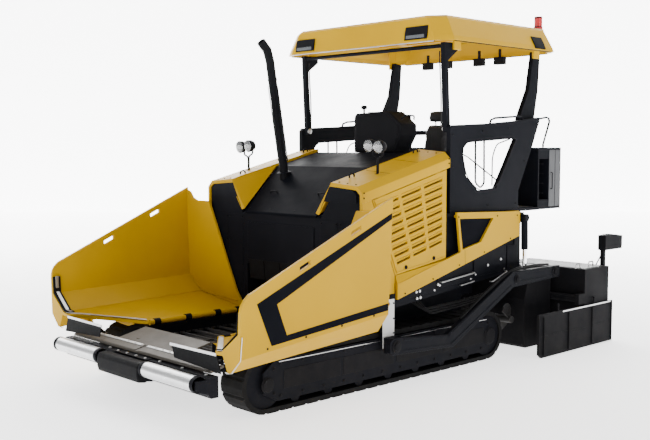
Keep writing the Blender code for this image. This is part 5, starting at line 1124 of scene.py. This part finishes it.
# ================================================================ roof
def roof_details():
    """Lamps, ribs, edge strip, seal, ridges, beacon rings and flutes, pins and cables of the roof."""
    housings, glass = [], []
    for x0, x1 in ((-1.06, -0.74), (0.74, 1.06)):
        housings.append(prism("x", [(-0.002, 3.640), (0.012, 3.640), (0.060, 3.785), (0.022, 3.785),
                                    (0.004, 3.70)], x0, x1))
        glass.append(box((x0 + 0.03, x1 - 0.03), (-0.006, 0.0), (3.655, 3.690)))
    piece("roof_lamp_front", "roof", SATIN, housings, bevel=0.004)
    piece("roof_lamp_front_glass", "roof", DIM, glass, None, 0.002)
    side = [prism("y", [(1.336, 3.63), (1.344, 3.64), (1.318, 3.70), (1.275, 3.775), (1.262, 3.775),
                        (1.30, 3.68), (1.318, 3.63)], 1.66, 1.87)]
    both("roof_lamp_side", ("roof", "roof"), SATIN, side, bevel=0.003)
    under, lens_under = [], []
    for x in (-0.59, -0.267, 0.267, 0.59):
        y = 1.95
        under.append(box((x - 0.075, x + 0.075), (y, y + 0.07), (3.505, 3.60)))
        under.append(box((x - 0.015, x + 0.015), (y + 0.02, y + 0.05), (3.595, 3.70)))
        lens_under.append(box((x - 0.065, x + 0.065), (y + 0.068, y + 0.075), (3.515, 3.59)))
    piece("roof_lamp_rear", "roof", SATIN, under, bevel=0.006)
    piece("roof_lamp_rear_glass", "roof", LENS, lens_under, None, 0.001)
    ribs = [box((-1.10, 1.10), (y, y + 0.05), (3.80, 3.836)) for y in (0.55, 1.05, 1.55)]
    ribs += [box((x - 0.025, x + 0.025), (0.20, 1.98), (3.795, 3.832)) for x in (-0.6, 0.6)]
    # The ribs wear the painted-shade copy of the yellow.
    piece("roof_ribs", "roof", YELLOW_SHADED, ribs, "yellow_paint", 0.004)
    strip = [box((-1.14, 1.14), (0.018, 0.034), (3.606, 3.6145))]
    piece("roof_edge_strip", "roof", ZINC, strip, "bright_steel", 0.001)
    seal = [tube([(-1.14, 0.045, 3.612), (1.14, 0.045, 3.612)], 0.008, 8)]
    for side_x in (-1, 1):
        seal.append(tube([(side_x * 1.318, 0.17, 3.612), (side_x * 1.318, 2.03, 3.612)], 0.007, 8))
    seal.append(tube([(-1.16, 2.178, 3.612), (1.16, 2.178, 3.612)], 0.007, 8))
    piece("roof_seal", "roof", FLAP, seal, None, 0.0)
    ridges = [box((x - 0.04, x + 0.04), (0.25, 1.95), (3.9002, 3.908)) for x in (-0.75, -0.25, 0.25, 0.75)]
    piece("roof_ridges", "roof", YELLOW, ridges, "yellow_paint", 0.003)
    x, y = BEACON
    cage = [turned([(0, 0.047), (0.004, 0.054), (0.012, 0.054), (0.016, 0.047)], (x, y, 3.924), (0, 0, 1)),
            turned([(0, 0.0468), (0.004, 0.049), (0.010, 0.049), (0.013, 0.0468)], (x, y, 4.038), (0, 0, 1))]
    piece("beacon_rings", "roof", SATIN, cage, bevel=0.0)
    flutes = [rod((x + 0.0455 * math.cos(a), y + 0.0455 * math.sin(a), 3.942),
                  (x + 0.0455 * math.cos(a), y + 0.0455 * math.sin(a), 4.036), 0.0035, 8)
              for a in (2 * math.pi * k / 16 for k in range(16))]
    piece("beacon_flutes", "roof", RED_LENS, flutes, "red_lens", 0.0)
    pins = []
    for y0, z0 in ((0.275, 2.665), (1.80, 2.665)):
        pins.append(turned([(0, 0.034), (0.006, 0.034), (0.010, 0.024), (0.018, 0.024), (0.021, 0.012)],
                           (1.099, y0, z0), (-1, 0, 0)))
    both("roof_pin", BASE, ZINC, pins, "bright_steel", 0.0)
    cable = [tube([(1.06, 0.262, 2.70), (1.06, 0.262, 3.0), (1.06, 0.232, 3.40), (1.06, 0.228, 3.52)],
                  0.007, 8)]
    both("roof_cable", ("front_posts", "front_posts"), HOSE, cable, None, 0.0)


# ================================================================ tracks and running gear
def track_details():
    """Bolts, plates and hubs on the track guards, and the white skin of the tow guides."""
    bolts, plates = [], []
    for i in range(12):
        y = -2.28 + i * 0.278
        bolts.append(hex_bolt((GUARD_X, y, 0.455), (1, 0, 0), 0.013, 0.010))
        bolts.append(hex_bolt((GUARD_X, y, 0.155), (1, 0, 0), 0.013, 0.010))
    for y, z in ((-2.44, 0.30), (-2.36, 0.19), (-2.36, 0.42), (0.93, 0.22), (0.97, 0.32), (0.90, 0.43)):
        bolts.append(hex_bolt((GUARD_X, y, z), (1, 0, 0), 0.013, 0.010))
    for y0, y1 in ((-2.24, -1.50), (-1.46, -0.72), (-0.68, 0.06), (0.10, 0.82)):
        plates.append(box((1.2622, 1.2665), (y0, y1), (0.215, 0.395)))
    both("guard_plate", BASE, SATIN, plates, bevel=0.003)
    both("guard_bolt", BASE, SATIN, bolts, bevel=0.0)
    hubs = []
    for y, size in ((-2.44, 0.075), (0.925, 0.105)):
        hubs.append(turned([(0, size), (0.006, size), (0.012, size * 0.82), (0.020, size * 0.8),
                            (0.024, size * 0.4)],
                           (GUARD_X, y, 0.28), (1, 0, 0), 28))
        for k in range(6):
            a = 2 * math.pi * k / 6
            hubs.append(hex_bolt((1.272, y + size * 0.6 * math.cos(a), 0.28 + size * 0.6 * math.sin(a)),
                                 (1, 0, 0), 0.010, 0.012))
    both("track_hub", BASE, SATIN, hubs, bevel=0.0)
    strip = [bar((1.2645, -2.30, 0.478), (1.2645, 0.87, 0.478), 0.006, 0.004)]
    both("guard_seam", BASE, ZINC, strip, "bright_steel", 0.0)
    white = [box((1.3099, 1.3102), (-0.943, -0.767), (0.405, 0.905))]
    both("tow_guide_skin", BASE, WHITE, white, None, 0.0)
    mark = [rod((1.3098, -0.855, 0.86), (1.3102, -0.855, 0.86), 0.022, 24)]
    both("tow_guide_mark", BASE, RED, mark, None, 0.0)
    guide = []
    for z in (0.43, 0.55, 0.70, 0.86):
        guide.append(hex_bolt((COVER_X, -0.78, z), (1, 0, 0), 0.008, 0.006))
    both("tow_guide_bolt", BASE, SATIN, guide, bevel=0.0)


# ================================================================ arms and screed
def arm_details():
    """Pins, ribs and hoses of the tow arms."""
    pins, ribs, hoses = [], [], []
    for y, z, size in ((-0.86, 0.435, 0.045), (2.02, 0.95, 0.045), (1.22, 0.93, 0.035)):
        pins.append(turned([(0, size * 1.5), (0.008, size * 1.5), (0.014, size), (0.026, size),
                            (0.030, size * 0.6)], (ARM_X, y, z), (1, 0, 0), 24))
    for a, b in (((-0.75, 0.375), (-0.02, 0.335)), ((0.02, 0.335), (1.12, 0.865)),
                 ((1.20, 0.895), (1.94, 0.905))):
        ribs.append(bar((ARM_RIB_X, a[0], a[1]), (ARM_RIB_X, b[0], b[1]), 0.020, 0.006))
    for a, b in (((-0.75, 0.492), (-0.06, 0.43)), ((-0.02, 0.43), (1.12, 1.0)), ((1.20, 1.0), (1.94, 1.0))):
        ribs.append(bar((ARM_RIB_X, a[0], a[1]), (ARM_RIB_X, b[0], b[1]), 0.020, 0.006))
    both("tow_arm_pin", ARMS, SATIN, pins, bevel=0.0)
    both("tow_arm_rib", ARMS, BLACK, ribs, bevel=0.002)
    for i in range(2):
        hoses.append(tube([(1.40, 0.20 + 0.03 * i, 0.59), (1.40, 0.62, 0.80 + 0.02 * i),
                           (1.40, 1.14, 1.035 + 0.02 * i),
                           (1.40, 1.70, 1.04 + 0.02 * i), (1.34, 2.0, 1.035)], 0.013, 8))
    both("tow_arm_hose", ARMS, HOSE, hoses, None, 0.0)


def screed_details():
    """Handles, walkway and hose loops on the main screed."""
    handles, hoses = [], []
    tread = [box((0.03, 1.20), (1.90, 2.20), (0.9802, 0.986))]
    for x in (0.25, 0.80):
        handles.append(tube([(x - 0.08, 1.86, 0.98), (x - 0.08, 1.86, 1.04), (x + 0.08, 1.86, 1.04),
                             (x + 0.08, 1.86, 0.98)], 0.009, 8))
    for i in range(3):
        hoses.append(tube([(0.36 + 0.1 * i, 1.80, 0.985), (0.42 + 0.1 * i, 1.84, 1.02),
                           (0.70 + 0.1 * i, 1.86, 1.025),
                           (1.02, 1.84, 1.02), (1.10, 1.80, 0.985)], 0.012, 8))
    both("screed_handle", ARMS, ZINC, handles, "bright_steel", 0.0)
    both("screed_tread", ARMS, TREAD, tread, None, 0.001)
    both("screed_hose", ARMS, HOSE, hoses, None, 0.0)


def screed_end_details():
    """Handles, panels, control boxes and end gate strips on the extensions."""
    top, side, fix = [], [], []
    for y in (2.42, 2.72):
        top.append(tube([(1.50, y - 0.05, 0.958), (1.50, y - 0.05, 1.02), (1.50, y + 0.05, 1.02),
                         (1.50, y + 0.05, 0.958)], 0.009, 8))
    wear = [box((0.50, 1.60), (2.40, 2.90), (0.9602, 0.966))]
    for x in (0.60, 0.95, 1.30, 1.58):
        for z in (0.15, 0.50, 0.85):
            fix.append(hex_bolt((x, 2.92, z), (0, 1, 0), 0.011, 0.008))
    for x0, x1 in ((0.50, 0.86), (0.90, 1.26), (1.30, 1.60)):
        side.append(box((x0, x1), (2.9202, 2.926), (0.22, 0.80)))
    both("extension_handle", EXTENSIONS, ZINC, top, "bright_steel", 0.0)
    both("extension_tread", EXTENSIONS, TREAD, wear, None, 0.001)
    both("extension_panel", EXTENSIONS, SATIN, side, bevel=0.004)
    both("extension_bolt", EXTENSIONS, SATIN, fix, bevel=0.0)
    board = [box((1.525, 1.625), (3.2652, 3.268), (1.18, 1.33))]
    knobs = []
    for i in range(4):
        for j in range(2):
            knobs.append(rod((1.545 + 0.024 * i, 2.93 + 0.08 * j, 1.3502),
                             (1.545 + 0.024 * i, 2.93 + 0.08 * j, 1.361), 0.008, 12))
    knobs.append(tube([(1.575, 2.88, 1.16), (1.575, 2.80, 1.06), (1.56, 2.74, 0.98)], 0.008, 8))
    both("control_knob", EXTENSIONS, SATIN, knobs, bevel=0.0)
    both("control_door", EXTENSIONS, GREY, board, None, 0.001)
    strips = []
    bars = [bar((1.6715, 1.83, 0.508), (1.6715, 2.92, 0.511), 0.016, 0.004)]
    for a, b in (((1.62, 0.265), (2.337, 0.246)), ((2.511, 0.254), (2.749, 0.256)),
                 ((1.36, 0.252), (1.515, 0.262))):
        strips.append(bar((GATE_STRIP_X, a[0], a[1]), (GATE_STRIP_X, b[0], b[1]), 0.012, 0.003))
    for y in (1.42, 1.95, 2.48, 2.94):
        strips.append(bar((1.6722, y, 0.03), (1.6722, y, 0.49), 0.003, 0.030, (0, 1, 0)))
    both("gate_bar", GATES, ZINC, bars, "bright_steel", 0.0)
    both("gate_strip", GATES, SATIN, strips, bevel=0.0)
    screws = []
    for y in (1.75, 2.55):
        screws.append(turned([(0, 0.010), (0.06, 0.010), (0.062, 0.0135), (0.085, 0.0135), (0.087, 0.008)],
                             (1.656, y, 0.521), (0, 0, 1)))
    both("gate_screw", GATES, SATIN, screws, bevel=0.0)


def build_all():
    set_camera()
    set_stage()
    dress_nodes()
    wing_details()
    front_details()
    grille_details()
    cover_details()
    hood_details()
    hopper_wall_details()
    side_details()
    platform_details()
    locker_details()
    console_details()
    build_seats()
    roof_details()
    track_details()
    arm_details()
    screed_details()
    screed_end_details()


build_all()
